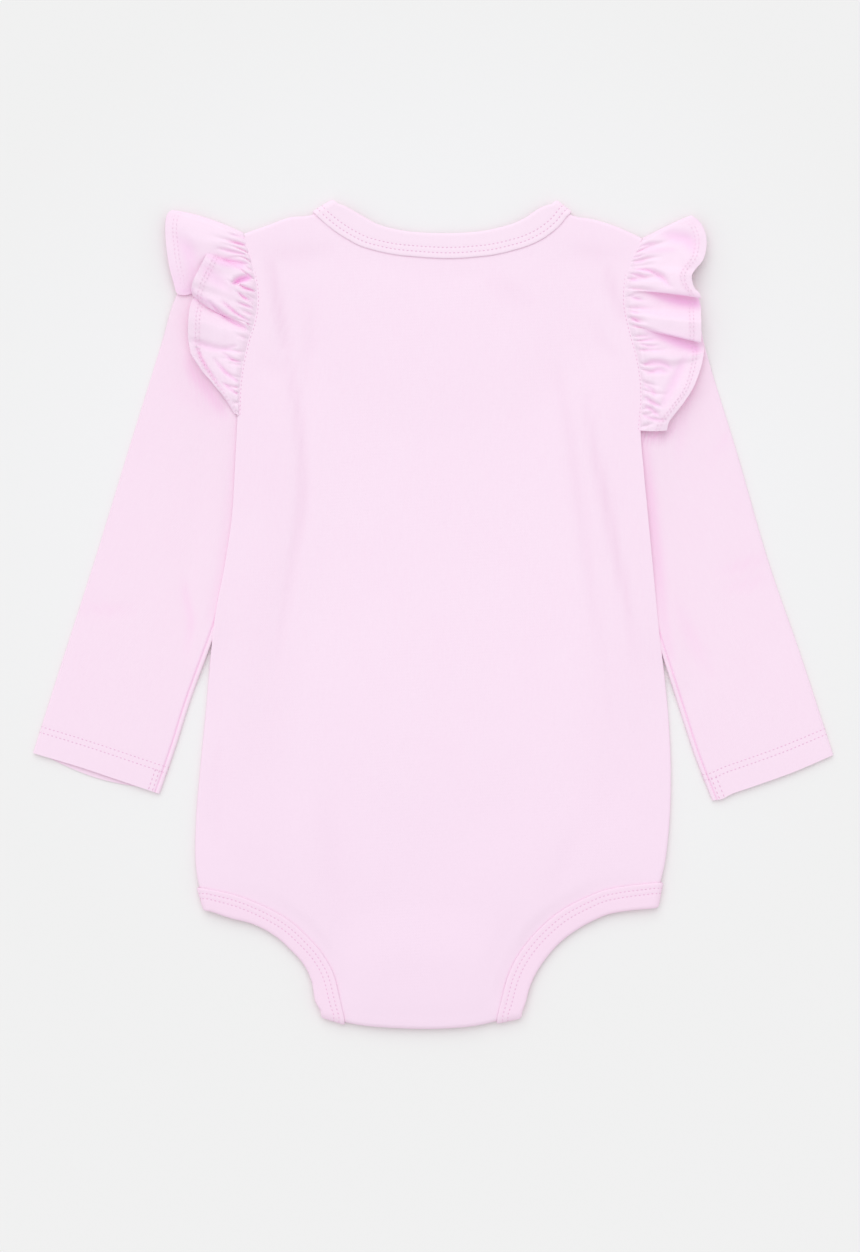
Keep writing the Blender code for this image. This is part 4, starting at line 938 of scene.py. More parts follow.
def bandStitches(name, sections):
    found = []
    for row in band["rows"]:
        line, normals = [], []
        for edge, width, normal in sections:
            wide = float(np.linalg.norm(width))
            high = fold["band"] - band["groove"]
            line.append(edge + width / wide * (wide - row) + normal * high)
            normals.append(normal)
        found += stitchRow(line, normals)
    return stitchMesh(name, found, colours["thread"])


print("bindings")
backRows, frontRows, leftFold, rightFold = neckRows()
neckSections = (flatSections(backRows, band["neckBack"], 1.0)
                + foldSections(backRows[-1], rightFold, True)
                + flatSections(frontRows, band["neckFront"], -1.0)
                + foldSections(backRows[0], leftFold, False))
bands = {"neckBinding": binding("neckBinding", neckSections, True, colours["neck"])}
bandThreads = {"neckBinding": bandStitches("neckStitches", neckSections)}
for side in sign:
    back, front, flap, sideFold, crotchFold = legRows(side)
    sections = (flatSections(flap[::-1], band["legFlap"], -1.0)
                + foldSections(back[-1], crotchFold, False)
                + flatSections(back[::-1], band["leg"], 1.0)
                + foldSections(back[0], sideFold, True) + flatSections(front, band["leg"], -1.0))
    name = sided("legBinding", side)
    bands[name] = binding(name, sections, False, colours["leg"])
    bandThreads[name] = bandStitches(sided("legStitches", side), sections)


sleeve = {
    "left": {
        "outer": [(-105.4, 190.6), (-117, 187.5), (-129.5, 175), (-138.4, 158.5), (-144.1, 137.5),
                  (-160.2, 80), (-176.3, 22.2), (-191, -28), (-205.7, -78.9)],
        "inner": [(-84, 78), (-93, 50), (-103.5, 15), (-113.8, -17.7), (-124.4, -49.2),
                  (-131.5, -74), (-139.2, -98.4)],
        "cuff": [(-205.7, -78.9), (-181, -85.6), (-160, -92), (-139.2, -98.4)],
        "armhole": [(-105.4, 190.6), (-102.6, 183), (-98.8, 172), (-96.6, 161), (-97.7, 149),
                    (-101.4, 135.6), (-104.2, 117.5), (-103.2, 100.8), (-96, 88.5), (-84, 78)],
    },
    "right": {
        "outer": [(105.3, 193.8), (116, 190), (127.5, 175), (133.5, 158), (138, 140), (155.5, 88),
                  (173.5, 31.8), (191.5, -16), (210.3, -68.4)],
        "inner": [(84, 78), (95, 48), (107, 15), (118.7, -16.5), (128.6, -44.5), (138, -70.8),
                  (147.8, -93.9)],
        "cuff": [(210.3, -68.4), (190, -77.6), (168, -86.1), (157, -90.2), (151.5, -93.2),
                 (147.8, -93.9)],
        "armhole": [(105.3, 193.8), (100.8, 187), (97.2, 176), (96.5, 163), (99.8, 149),
                    (104.2, 134.5), (106.9, 117.5), (105.9, 100), (98, 88), (84, 78)],
    },
    # what the lower layer lies on: x, y, reach, lift
    "under": {
        "left": [
            [(-106, 186, 16, 2.2), (-116, 170, 26, 2.2), (-114, 145, 22, 2.2), (-110, 116, 8, 2)],
            [(-94, 96, 16, 1.3), (-97, 60, 14, 1.3), (-102, 28, 13, 1.3), (-108, 0, 11, 1.3),
             (-112, -28, 8, 1.3)],
        ],
        "right": [
            [(106, 188, 16, 2.2), (115, 172, 26, 2.2), (116, 145, 22, 2.2), (113, 114, 10, 2)],
            [(95, 96, 16, 1.3), (100, 60, 14, 1.3), (105, 28, 14, 1.3), (112, 0, 12, 1.3),
             (117, -28, 9, 1.3)],
        ],
    },
    "headRadius": 0.65, "radius": 0.95, "rest": 0.5, "fade": 12.0,
    "hem": 11.4, "gap": 3.0, "groove": 0.12, "grooveWidth": 0.8,
    "seam": 2.5, "seamGroove": 1.05, "seamWidth": 0.5,
    "peek": {"left": 2.7, "right": 0.0},
    "bars": [2.4, 5.0], "barLength": 1.5, "barPitch": 2.2, "barStitch": 1.7,
    "straight": 26, "bow": 5, "puff": 0.55, "crease": 0.7,
    # where along the sleeve, from the shoulder, each starts and how fast it grows
    "rollFrom": (0.28, 0.2), "puffFrom": (0.35, 0.3), "waveFrom": (0.3, 0.2),
    "peekFrom": (0.95, 0.05), "peekOver": (0.1, 0.75), "puffShape": 0.7, "rollStep": 20,
    # height, length and seed of the cloth's waves
    "wave": (0.1, 90.0, 2.3),
    "seamShade": {"beside": 0.4, "wide": 0.7, "deep": 1.5},
}


def sleeveGrid(side):
    # rings round the sleeve, from the shoulder to the cuff
    table = sleeve[side]
    parts, w = closer(*detail["sleeveRows"]), closer(*detail["sleeveColumns"])
    outer = smooth(table["outer"], parts)
    # the rows near the cuff are parallel to it
    outerLength, innerLength = (lineLength(smooth(table[k], parts)) for k in ("outer", "inner"))
    length, near = (1 - parts) * outerLength, sleeve["straight"]
    further = near + (length - near) * (innerLength - near) / (outerLength - near)
    inner = smooth(table["inner"], 1 - np.where(length < near, length, further) / innerLength)
    armhole, end = smooth(table["armhole"], w), smooth(table["cuff"], w)
    over = w[None, :, None]
    plan = outer[:, None] * (1 - over) + inner[:, None] * over
    s = parts[:, None, None]
    bowTop, bowEnd = ((line - (line[0] * (1 - w[:, None]) + line[-1] * w[:, None]))[None]
                      for line in (armhole, end))
    plan = plan + bowTop * (1 - s) ** sleeve["bow"] + bowEnd * s ** sleeve["bow"]
    # drawn in at both sides for the folds' rolls
    widen = rising(parts, *sleeve["rollFrom"])
    radius = sleeve["headRadius"] + (sleeve["radius"] - sleeve["headRadius"]) * widen
    reach = (radius + fold["cloth"] / 2)[:, None]
    wide = np.linalg.norm(plan[:, -1] - plan[:, 0], axis=1)[:, None]
    ahead, behind = unit(plan[:, 1] - plan[:, 0]), unit(plan[:, -1] - plan[:, -2])
    start = plan[:, :1] + reach[..., None] * ahead[:, None]
    stop = plan[:, -1:] - reach[..., None] * behind[:, None]
    squeeze = plan - plan[:, :1] * (1 - over) - plan[:, -1:] * over
    plan = start * (1 - over) + stop * over + squeeze
    x, y, arch = plan[..., 0], plan[..., 1], np.sin(np.pi * w)[None]
    low = sleeve["rest"] + lift(x, y, sleeve["under"][side], sleeve["fade"])
    puff = sleeve["puff"] * arch ** sleeve["puffShape"]
    high = low + 2 * radius[:, None] + puff * rising(parts[:, None], *sleeve["puffFrom"])
    waveHeight, waveLength, waveSeed = sleeve["wave"]
    wave = slack(x, y, waveLength, waveSeed + sign[side])
    high = high + waveHeight * wave * arch * rising(parts[:, None], *sleeve["waveFrom"])
    high = high - sleeve["crease"] * trough(x, y, creases[side])
    # the hem's two rows, and the underarm seam beside the inner fold
    for row in (sleeve["hem"], sleeve["hem"] + sleeve["gap"]):
        off = (length[:, None] - row) / sleeve["grooveWidth"]
        high = high - sleeve["groove"] * np.exp(-off ** 2)
    off = (1 - w[None]) * wide - sleeve["seam"] + reach
    high = high - sleeve["seamGroove"] * np.exp(-(off / sleeve["seamWidth"]) ** 2)
    # the lower layer shows a little past the cuff
    peek = unit(outer[-1] - outer[-2]) * sleeve["peek"][side]
    peekStart, peekWide = sleeve["peekOver"]
    sweep = np.sin(np.pi * np.clip((w - peekStart) / peekWide, 0, 1))[None, :, None]
    lowPlan = plan + peek * sweep * rising(s, *sleeve["peekFrom"])
    turns = [math.radians(a) for a in range(sleeve["rollStep"], 180, sleeve["rollStep"])]
    rings = []
    for i in range(len(parts)):
        innerFold, outerFold = [], []
        for roll, j, way in ((innerFold, -1, behind[i]), (outerFold, 0, -ahead[i])):
            for turn in turns:
                rise = (high[i, j] - low[i, j]) / 2 * (1 + math.cos(turn))
                shift = radius[i] * math.sin(turn) * way
                roll.append((*(plan[i, j] + shift), low[i, j] + rise))
        above = [(*plan[i, j], high[i, j]) for j in range(len(w))]
        below = [(*lowPlan[i, j], low[i, j]) for j in range(len(w))]
        rings.append(above + innerFold + below[::-1] + outerFold[::-1])
    return np.array(rings), w, length


def rowAt(grid, normals, values, wanted):
    # the line across a grid where its rows' value is the wanted one
    k = int(np.clip(np.searchsorted(values, wanted) - 1, 0, len(values) - 2))
    t = (wanted - values[k]) / (values[k + 1] - values[k])
    return grid[k] * (1 - t) + grid[k + 1] * t, unit(normals[k] * (1 - t) + normals[k + 1] * t)


def sleeveStitches(side, grid, w, length):
    normals = gridNormals(grid, closed=True)
    if normals[len(length) // 2, len(w) // 2, 2] < 0:
        normals = -normals
    found = []
    for row in (sleeve["hem"], sleeve["hem"] + sleeve["gap"]):
        line, up = rowAt(grid[::-1], normals[::-1], length[::-1], row)
        line, up = np.vstack([line, line[:1]]), np.vstack([up, up[:1]])
        found += stitchRow(line + up * fold["cloth"] / 2, up)
    # the seam's end is held across the hem by two short rows
    wide = np.linalg.norm(grid[-1, len(w) - 1, :2] - grid[-1, 0, :2])
    rows = np.where(length < sleeve["hem"] + sleeve["barLength"])[0]
    for beside in sleeve["bars"]:
        k = int(np.argmin(np.abs((1 - w) * wide - beside)))
        ups = normals[rows, k]
        found += stitchRow(grid[rows, k] + ups * fold["cloth"] / 2, ups, sleeve["barPitch"],
                           sleeve["barStitch"])
    return stitchMesh(sided("sleeveStitches", side), found, colours["thread"])


print("sleeves")
sleeves, sleeveThreads = {}, {}
for side in sign:
    grid, w, length = sleeveGrid(side)
    sleeves[side] = clothSheet(sided("sleeve", side), grid, colours["sleeve"], closed=True)
    # painted shade along the sleeve's creases, and its underarm seam shows as a line of painted
    # shade beside the inner fold
    mark = sleeve["seamShade"]
    seam = [(x + sign[side] * (sleeve["seam"] + mark["beside"]), y, mark["wide"], mark["deep"])
            for x, y in sleeve[side]["inner"][2:]]
    shadeForms = creases[side] + [seam]
    paintShade(sleeves[side], lambda x, y, z: creases["sleeveShade"] * trough(x, y, shadeForms))
    sleeveThreads[side] = sleeveStitches(side, grid, w, length)


ruffle = {
    "ribs": 560, "across": 30, "tuck": 0.6, "bulge": 0.8, "middleShare": 0.5, "leastStep": 0.3,
    "high": 5.0, "low": 1.2, "endLow": 0.5, "endPart": 0.3, "lift": 0.8, "floor": 5.1,
    "gathers": 21, "jitter": 0.3, "seed": {"left": 11, "right": 12},
    "ridge": 2.2, "ridgeAt": 0.12, "under": 0.45, "creasePart": 1.6,
    # part of the width over which gathers, creases and waves come in from the seam
    "gatherIn": 0.08, "creaseIn": 0.05, "waveIn": 0.2,
    # part of the seam over which it turns from back to front
    "backTurn": 0.03, "frontTurn": 0.06,
    # reach, lean, width and depth of a gather, least and most
    "least": (0.25, -0.02, 0.006, 1.6), "most": (0.65, 0.06, 0.010, 2.8),
    # height, length and seed of the small waves
    "wave": (0.18, 11.0, 3.3),
    # painted shade low in the waves and along the creases and lips, only above a height
    "valley": 5.2, "valleyFade": 1.6, "valleyShade": 0.26, "nearSeam": 5.0,
    "creaseShade": 0.18, "mostShade": 0.5, "shadeAbove": (2.6, 0.4),
    "hems": [4.0, 5.9], "hemFrom": 5.4, "hemInside": 0.4, "threadLift": 0.45, "upright": 0.02,
    # armhole seam x, y, from the underarm up
    "seam": {
        "left": [(-104.1, 99), (-103.7, 117.5), (-100.8, 135.6), (-97.1, 149), (-96.1, 161),
                 (-98.1, 173), (-101, 184), (-103.8, 193)],
        "right": [(105.3, 97), (106.1, 117.5), (103.4, 134.5), (99, 149), (95.9, 163), (96.5, 178),
                  (99.5, 188), (103.7, 196)],
    },
    # x, y, half width, depth
    "creases": {
        "left": [
            [(-119.5, 157, 0.8, 0.3), (-114.5, 152, 1, 1.3), (-108, 147.8, 1.1, 1.6),
             (-101, 144.6, 0.8, 0.9)],
            [(-112.9, 157.3, 0.9, 0.4), (-106.3, 152, 1, 1.2), (-99.5, 148.3, 0.8, 0.8)],
            [(-108.4, 166.8, 0.8, 0.8), (-105.2, 169, 1.4, 3.2), (-100.5, 170.6, 1.5, 3)],
            [(-110.1, 192.7, 0.7, 0.3), (-106.5, 192.2, 0.8, 0.9), (-103.8, 191.8, 0.7, 0.8)],
            [(-110.5, 188.6, 0.8, 0.3), (-106, 188.1, 0.9, 1), (-102.9, 187.7, 0.7, 0.8)],
            [(-115.9, 185.2, 0.9, 0.3), (-109, 183.9, 1, 1), (-103.2, 182.8, 0.7, 0.9)],
            [(-118, 181.1, 0.9, 0.4), (-112.4, 179, 1, 1.3), (-106, 178.2, 1.1, 1.6),
             (-101.2, 178, 0.8, 0.9)],
            [(-105.5, 162.9, 0.7, 0.4), (-102.1, 160.1, 0.9, 1.2), (-98, 159, 0.7, 0.8)],
            [(-105, 166.2, 0.7, 0.4), (-101.2, 164.6, 0.9, 1.2), (-97.6, 164, 0.7, 0.8)],
            [(-105.3, 157.5, 0.7, 0.4), (-100.9, 156, 0.8, 1), (-98, 155.2, 0.7, 0.8)],
            [(-127.5, 137, 1.5, 0.3), (-121, 134.6, 1.8, 0.8), (-113, 133.2, 1.5, 0.6),
             (-106.5, 134.8, 1, 0.5)],
            [(-125.6, 133, 0.9, 0.7), (-122.4, 126, 1, 0.9), (-116.4, 117.6, 1, 0.6),
             (-111.4, 111.4, 0.9, 0.3)],
            [(-116.5, 127.8, 0.8, 0.4), (-110.9, 121.4, 1, 1.3), (-104.8, 117, 0.8, 1)],
            [(-111.8, 115.4, 0.7, 0.4), (-107.8, 112.6, 0.9, 1), (-105, 110.7, 0.7, 0.9)],
            [(-112.2, 131.2, 0.8, 0.4), (-106.7, 127.5, 0.9, 1.1), (-103.5, 126.7, 0.7, 0.8)],
            [(-124, 176, 4, 0.4), (-118, 170, 4, 0.9), (-110, 164, 3, 0.3)],
            [(-137, 190, 3.5, 0.3), (-132, 184, 4, 1), (-129, 174, 3.5, 0.5)],
        ],
        "right": [
            [(98.2, 178.2, 0.7, 0.8), (101.5, 177.5, 0.9, 1.1), (104.7, 176.6, 0.7, 0.3)],
            [(97.6, 175.1, 0.7, 0.8), (99.6, 174.9, 0.8, 1), (101.9, 174.6, 0.7, 0.3)],
            [(99.8, 184, 0.7, 0.8), (102.4, 184.4, 0.8, 1), (105, 184.9, 0.7, 0.3)],
            [(99.8, 186.8, 0.7, 0.7), (101.4, 187.2, 0.7, 0.8), (103.3, 187.8, 0.6, 0.3)],
            [(102.6, 192.4, 0.7, 0.7), (106, 193.4, 1, 0.9), (109.9, 194.3, 0.9, 0.3)],
            [(98.6, 166.2, 0.7, 0.8), (101.5, 165.3, 0.9, 1.2), (104.5, 164.4, 0.7, 0.3)],
            [(98.2, 158.8, 0.7, 0.8), (100.4, 158.2, 0.8, 1.1), (102.9, 157.6, 0.6, 0.3)],
            [(98.9, 155.4, 0.7, 0.8), (101.2, 154.1, 0.9, 1.2), (103.6, 152.7, 0.7, 0.3)],
            [(100.6, 180.4, 0.8, 0.8), (108, 179.5, 1.2, 1.1), (114.4, 175.7, 1.4, 0.8),
             (117.3, 171.8, 1.2, 0.3)],
            [(106.6, 131.3, 0.8, 0.9), (110.4, 132.8, 1.2, 1.2), (116.7, 132.1, 1.4, 1),
             (120.2, 129.3, 1.2, 0.4)],
            [(108.3, 126.7, 1, 0.6), (113.4, 128.9, 1.3, 0.9), (118, 127.6, 1.3, 0.3)],
            [(107, 120.5, 0.8, 0.9), (110.3, 118.3, 1.1, 1.1), (112.1, 115.5, 1, 0.4)],
            [(107.5, 114.2, 0.8, 1), (111.6, 111.3, 1.1, 1.2), (116.2, 109.4, 1, 0.3)],
            [(107.7, 109.7, 0.8, 0.9), (111.7, 107.2, 1.1, 1.1), (114.6, 104.2, 1, 0.4)],
            [(107.2, 104.6, 0.8, 0.9), (111.8, 103, 1.1, 1), (117.5, 102.6, 1, 0.3)],
            [(104.4, 141.9, 0.8, 0.9), (107.9, 140.9, 1, 1), (113.6, 141.3, 1, 0.3)],
            [(127.3, 135.3, 2, 0.5), (122.6, 125.2, 2.5, 1), (116.7, 111.4, 2, 0.6)],
            [(113.7, 199, 2.5, 0.4), (120, 198, 3.5, 1.2), (126.8, 196.5, 3.5, 1.3),
             (129.6, 191.5, 2.5, 0.6)],
        ],
    },
    # painted shade under the waves' lips
    "lipShadows": {
        "left": [
            [(-127, 160, 1.6, 0.8), (-121, 157, 1.8, 1.2), (-115, 152.5, 1.8, 1.2)],
            [(-121, 181, 1.6, 0.8), (-114, 177.6, 1.8, 1.6), (-104, 176.4, 1.6, 1.4)],
            [(-139, 163, 1.4, 1.2), (-133, 162.4, 1.4, 1.4), (-129, 163, 1.4, 1.2)],
        ],
        "right": [
            [(107, 169, 1.2, 0.8), (116, 166, 2.2, 1.8), (124, 164.6, 2.8, 2.4),
             (132, 163.6, 2.8, 2.4)],
            [(106, 149, 1.2, 0.8), (114, 146.2, 2, 1.6), (124, 143, 2.8, 2.2),
             (132.5, 140.4, 2.8, 2.2)],
            [(105, 189.6, 1.4, 0.5), (112, 190.6, 1.6, 0.7), (119, 191, 1.6, 0.5)],
        ],
    },
    # part of the seam, middle x, y, z, hem x, y, z
    "back": {
        "left": [
            (0, -104.9, 100.1, 4.6, -105.4, 99.6, 4.4),
            (0.06, -107.4, 105, 6.3, -110.6, 107.9, 6.9),
            (0.13, -111, 111.9, 7.4, -118, 116.4, 8.8),
            (0.17, -112.6, 116.4, 7.2, -122, 120.6, 9.6),
            (0.21, -114.2, 121, 7.6, -125.4, 125.4, 10.1),
            (0.27, -115.4, 126.4, 7.4, -128.2, 129.4, 10.2),
            (0.31, -115.6, 129.8, 7.3, -129.4, 133, 9.6),
            (0.35, -115.4, 133.2, 7.5, -130.2, 136.4, 9.2),
            (0.39, -115.2, 137.4, 8.1, -130.6, 140.6, 9.6),
            (0.43, -115.4, 143.6, 8.6, -130.6, 147.5, 9.9),
            (0.45, -115, 148, 7.8, -130.2, 153.5, 9.2),
            (0.465, -113.4, 153.6, 6.4, -129.2, 158, 7.6),
            (0.475, -112.6, 155, 6.7, -128.4, 159.4, 7),
            (0.485, -114.4, 152.8, 7.6, -128, 159.8, 7.2),
            (0.5, -115.6, 152.2, 8.8, -128.6, 160.6, 8),
            (0.53, -115.2, 155.8, 9.9, -129.4, 163.2, 9.6),
            (0.56, -113.8, 159.8, 9, -129.2, 165, 10.2),
            (0.6, -112.8, 163.4, 9.6, -128.4, 168, 10.6),
            (0.66, -111.6, 167.6, 9.8, -126.6, 172, 10.6),
            (0.72, -110.6, 171.6, 9.2, -124.6, 176.6, 10.4),
            (0.76, -109.4, 176.5, 8.8, -122.6, 180.8, 9.2),
            (0.79, -110.4, 178.6, 6.4, -121.5, 183, 7.6), (0.8, -111.2, 179, 6.2, -123, 174.4, 6.6),
            (0.815, -112, 179.4, 6.3, -128.5, 162.5, 6), (0.83, -113, 180, 6.8, -136.4, 161.1, 6.4),
            (0.85, -113.5, 181, 7.4, -139, 167, 6.6), (0.88, -116, 184.5, 8.4, -141.8, 177, 7),
            (0.91, -118.5, 188.5, 8.8, -143.4, 187, 7.3),
            (0.94, -121, 193, 8.4, -144.1, 195.5, 7.2), (0.97, -123, 198, 7.4, -143.6, 201.4, 6.7),
        ],
        "right": [
            (0, 112.4, 96.9, 7, 118.8, 97.5, 7.6), (0.03, 112.8, 100, 7.6, 119.6, 101.6, 8.4),
            (0.08, 114.4, 104.6, 8, 122.8, 106.4, 8.8), (0.14, 116.4, 110, 8.2, 127.1, 112.2, 9.2),
            (0.2, 118, 115.6, 8, 131.6, 119.6, 9.2), (0.26, 119, 121, 7.6, 134, 125.9, 9.2),
            (0.31, 119.4, 126, 7.2, 135.4, 130.5, 9), (0.355, 119.2, 130.6, 6.6, 136.3, 134.8, 8.8),
            (0.39, 119.6, 134.4, 8.2, 136.7, 138, 8.6),
            (0.43, 119.4, 138.2, 7.6, 136.9, 139.6, 7.6),
            (0.465, 118.4, 142.4, 6.8, 136, 143.4, 6.3), (0.5, 116.8, 147.6, 6.3, 133.6, 148, 6),
            (0.525, 116.4, 149.6, 6.6, 132.6, 148.6, 6.8),
            (0.54, 117.2, 147.2, 7.6, 134, 144.4, 7.9),
            (0.555, 117.8, 147.2, 9.6, 134.8, 143.2, 10.2),
            (0.575, 117.4, 149.6, 9.8, 134.8, 147, 10.4), (0.6, 116.6, 154, 10, 134.6, 152.6, 10.6),
            (0.63, 115.8, 158.6, 8.4, 134.6, 158, 8.6), (0.655, 115.2, 163, 6.9, 134.6, 162, 6.9),
            (0.68, 114.2, 169.4, 6.2, 132.6, 169, 6.1), (0.7, 113.8, 171.6, 6.8, 131.6, 171, 6.6),
            (0.715, 114.6, 169.6, 8, 132.6, 168.4, 8.2),
            (0.735, 115.4, 168.4, 10, 134, 166.2, 10.2),
            (0.755, 115.6, 170.8, 10.4, 133.4, 168.2, 10.4),
            (0.78, 115.6, 173.6, 10.4, 130.4, 171.4, 10.4),
            (0.81, 115.8, 178, 10.2, 129, 177, 10.6), (0.84, 116.2, 182.4, 9.4, 131, 181, 9.4),
            (0.87, 116.8, 187, 9, 134.6, 185.6, 8.6), (0.9, 117.4, 191.4, 8.6, 136.2, 190.4, 8),
            (0.93, 118, 195.6, 8.2, 136.6, 196, 7.6), (0.96, 118.4, 199.4, 7.6, 135.4, 201.4, 7.2),
            (0.985, 118.8, 202.6, 6.8, 132.6, 206.2, 6.7),
        ],
    },
    # round the shoulder: turn, middle x, y, z, hem x, y, z
    "over": {
        "left": [(0.25, -123, 199.6, 6.5, -142.4, 203.6, 6),
                 (0.5, -123.2, 201, 4.8, -140.8, 204.6, 4.5),
                 (0.75, -123, 199.6, 2.6, -141.5, 203, 2.5)],
        "right": [(0.25, 119.2, 204.6, 5.6, 129.6, 208.6, 6.4),
                  (0.5, 119.2, 205, 4.2, 128.4, 209.2, 4.4),
                  (0.75, 119, 204.2, 2.6, 130.5, 208, 2.6)],
    },
    # part of the seam, hem x, y, z
    "front": {
        "left": [(0.97, -143, 197, 0.9), (0.9, -142.4, 184, 0.5), (0.78, -138.6, 168, 0.5),
                 (0.64, -133, 152, 0.5), (0.48, -126.4, 136, 0.5), (0.3, -118, 120, 0.5),
                 (0.14, -110, 108, 0.5), (0, -106.2, 101.5, 0.5)],
        "right": [(0.97, 133.5, 198.5, 0.9), (0.9, 127, 184, 0.5), (0.78, 127.4, 170, 0.5),
                  (0.64, 131.4, 153, 0.5), (0.48, 127, 136, 0.5), (0.3, 121.6, 120, 0.5),
                  (0.14, 114.8, 108, 0.5), (0, 107.6, 98.4, 0.5)],
    },
}


def ruffleGrid(side):
    seamRows = ruffle["seam"][side]
    top = np.array(seamRows[-1])
    rows = []
    for part, *rest in ruffle["back"][side]:
        sx, sy = smooth(seamRows, [part])[0]
        rows.append((sx - sign[side] * ruffle["tuck"], sy, *rest[:2], *rest[3:5],
                     ruffle["high"], rest[2], rest[5], part))
    for turn, *rest in ruffle["over"][side]:
        t = (1 - math.cos(math.pi * turn)) / 2
        level = ruffle["high"] * (1 - t) + ruffle["low"] * t
        out = ruffle["bulge"] * math.sin(math.pi * turn)
        rows.append((top[0], top[1] + out, *rest[:2], *rest[3:5], level, rest[2], rest[5], 1.0))
    for part, hx, hy, hz in ruffle["front"][side]:
        sx, sy = smooth(seamRows, [part])[0]
        risen = ease(part / ruffle["endPart"])
        level = ruffle["endLow"] + (ruffle["low"] - ruffle["endLow"]) * risen
        rows.append((sx - sign[side] * ruffle["tuck"], sy, (sx + hx) / 2, (sy + hy) / 2, hx, hy,
                     level + ruffle["lift"], (level + hz) / 2, hz, 2 - part))
    rows = np.array(rows)
    # ribs are shared out by how far the middle and the hem travel from row to row
    step = ruffle["middleShare"] * np.linalg.norm(np.diff(rows[:, 2:4], axis=0), axis=1)
    step += np.linalg.norm(np.diff(rows[:, 4:6], axis=0), axis=1) + ruffle["leastStep"]
    at = np.concatenate([[0.0], np.cumsum(step)])
    ribs = hermite(rows, at, np.linspace(0, at[-1], ruffle["ribs"]), 6)
    # each rib is a curve through its seam, middle and hem
    v = np.linspace(0, 1, ruffle["across"])[None, :, None]
    seam, middle, hem = (ribs[:, None, [a, b, c]] for a, b, c in ((0, 1, 6), (2, 3, 7), (4, 5, 8)))
    grid = seam * (1 - v) * (1 - 2 * v) + middle * 4 * v * (1 - v) + hem * v * (2 * v - 1)
    # gathers along the seam: a ridge cut by short creases
    part, v = ribs[:, None, 9], v[..., 0]
    onBack = ease((1 - part) / ruffle["backTurn"])
    random = np.random.default_rng(ruffle["seed"][side])
    count, jitter = ruffle["gathers"], ruffle["jitter"]
    places = (np.arange(count) + 0.5 + random.uniform(-jitter, jitter, count)) / count
    cuts = np.zeros(grid.shape[:2])
    for place in (*places, *(1 + places)):
        reach, lean, wide, deep = random.uniform(ruffle["least"], ruffle["most"])
        off = (part - (place + lean * v)) / (wide * (1 + v))
        cuts = np.maximum(cuts, deep * np.exp(-off**2) * ease(1 - v / reach))
    x, y, z = (grid[..., k] for k in range(3))
    rise, cuts = v / ruffle["ridgeAt"], cuts * ease(v / ruffle["gatherIn"])
    z += onBack * (ruffle["ridge"] * rise * np.exp(1 - rise) - cuts)
    z += (1 - onBack) * rising(part, 1, ruffle["frontTurn"]) * ruffle["under"] * cuts
    deep = ruffle["creasePart"] * trough(x, y, ruffle["creases"][side])
    z -= onBack * ease(v / ruffle["creaseIn"]) * deep
    high, length, seed = ruffle["wave"]
    z += onBack * ease(v / ruffle["waveIn"]) * high * slack(x, y, length, seed)
    grid[..., 2] = np.where(part < 1, np.maximum(z, ruffle["floor"]), z)
    return grid


def ruffleStitches(side, grid):
    # the stitches show on top, whichever way the cloth's grid faces
    normals = gridNormals(grid)
    rise = normals[..., 2:]
    normals = normals * np.sign(np.where(np.abs(rise) < ruffle["upright"], 1.0, rise))
    found = []
    for hem in ruffle["hems"]:
        line, ups = [], []
        for rib, up in zip(grid, normals):
            run = runAlong(rib)
            wanted = max(run[-1] - hem, ruffle["hemInside"] * run[-1])
            line.append(placed(wanted, run, rib))
            ups.append(placed(wanted, run, up))
        line, ups = np.array(line), unit(np.array(ups))
        on = line[:, 2] > ruffle["hemFrom"]
        line, ups = line[on], ups[on]
        found += stitchRow(line + ups * ruffle["threadLift"], ups)
    return stitchMesh(sided("ruffleStitches", side), found, colours["paleThread"],
                      thread["pale"])


armhole = {"points": 60, "inside": 1.3, "above": 0.75, "pitch": 2.1, "stitch": 1.2}


def armholeStitches(side):
    count = armhole["points"]
    line = smooth(ruffle["seam"][side], np.linspace(0, 1, count))
    inner = line + sign[side] * np.array([-armhole["inside"], 0.0])
    points = np.column_stack([inner, np.full(count, ruffle["high"] + armhole["above"])])
    found = stitchRow(points, np.tile([0.0, 0.0, 1.0], (count, 1)), armhole["pitch"],
                      armhole["stitch"])
    return stitchMesh(sided("armholeStitches", side), found, colours["thread"],
                      thread["armhole"])


print("ruffles")
ruffles, ruffleThreads, armholeThreads = {}, {}, []
for side in sign:
    grid = ruffleGrid(side)
    ruffles[side] = clothSheet(sided("ruffle", side), grid, colours["ruffle"])
    # painted shade, deep pink, low in the waves, along their creases and where they close over the
    # cloth
    near = [[(x, y, ruffle["nearSeam"], 1.0)
             for x, y in [*ruffle["seam"][side], ruffle["over"][side][1][4:6]]]]
    shadeForms = ruffle["creases"][side] + ruffle["lipShadows"][side]
    paintShade(ruffles[side], lambda x, y, z: np.maximum(
        ruffle["valleyShade"] * ease((ruffle["valley"] - z) / ruffle["valleyFade"])
        * (1 - trough(x, y, near)),
        np.minimum(ruffle["creaseShade"] * trough(x, y, shadeForms), ruffle["mostShade"]))
        * rising(z, *ruffle["shadeAbove"]))
    ruffleThreads[side] = ruffleStitches(side, grid)
    armholeThreads.append(armholeStitches(side))


def declare(made, node, threads):
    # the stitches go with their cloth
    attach(made, "root")
    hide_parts(node)
    for each in threads:
        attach(each, "root")


declare(backPanel, "back_panel",
        armholeThreads)
declare(frontPanel, "front_panel", [])
declare(bands["neckBinding"], "neck_binding",
        [bandThreads["neckBinding"]])
for side in sign:
    name = sided("legBinding", side)
    declare(bands[name], "leg_binding_" + side,
            [bandThreads[name]])
    declare(sleeves[side], "sleeve_" + side,
            [sleeveThreads[side]])
    declare(ruffles[side], "ruffle_" + side,
            [ruffleThreads[side]])

for name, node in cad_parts.items():
    if name.startswith("snap"):
        node.data.materials.clear()
        node.data.materials.append(colours["stud"])
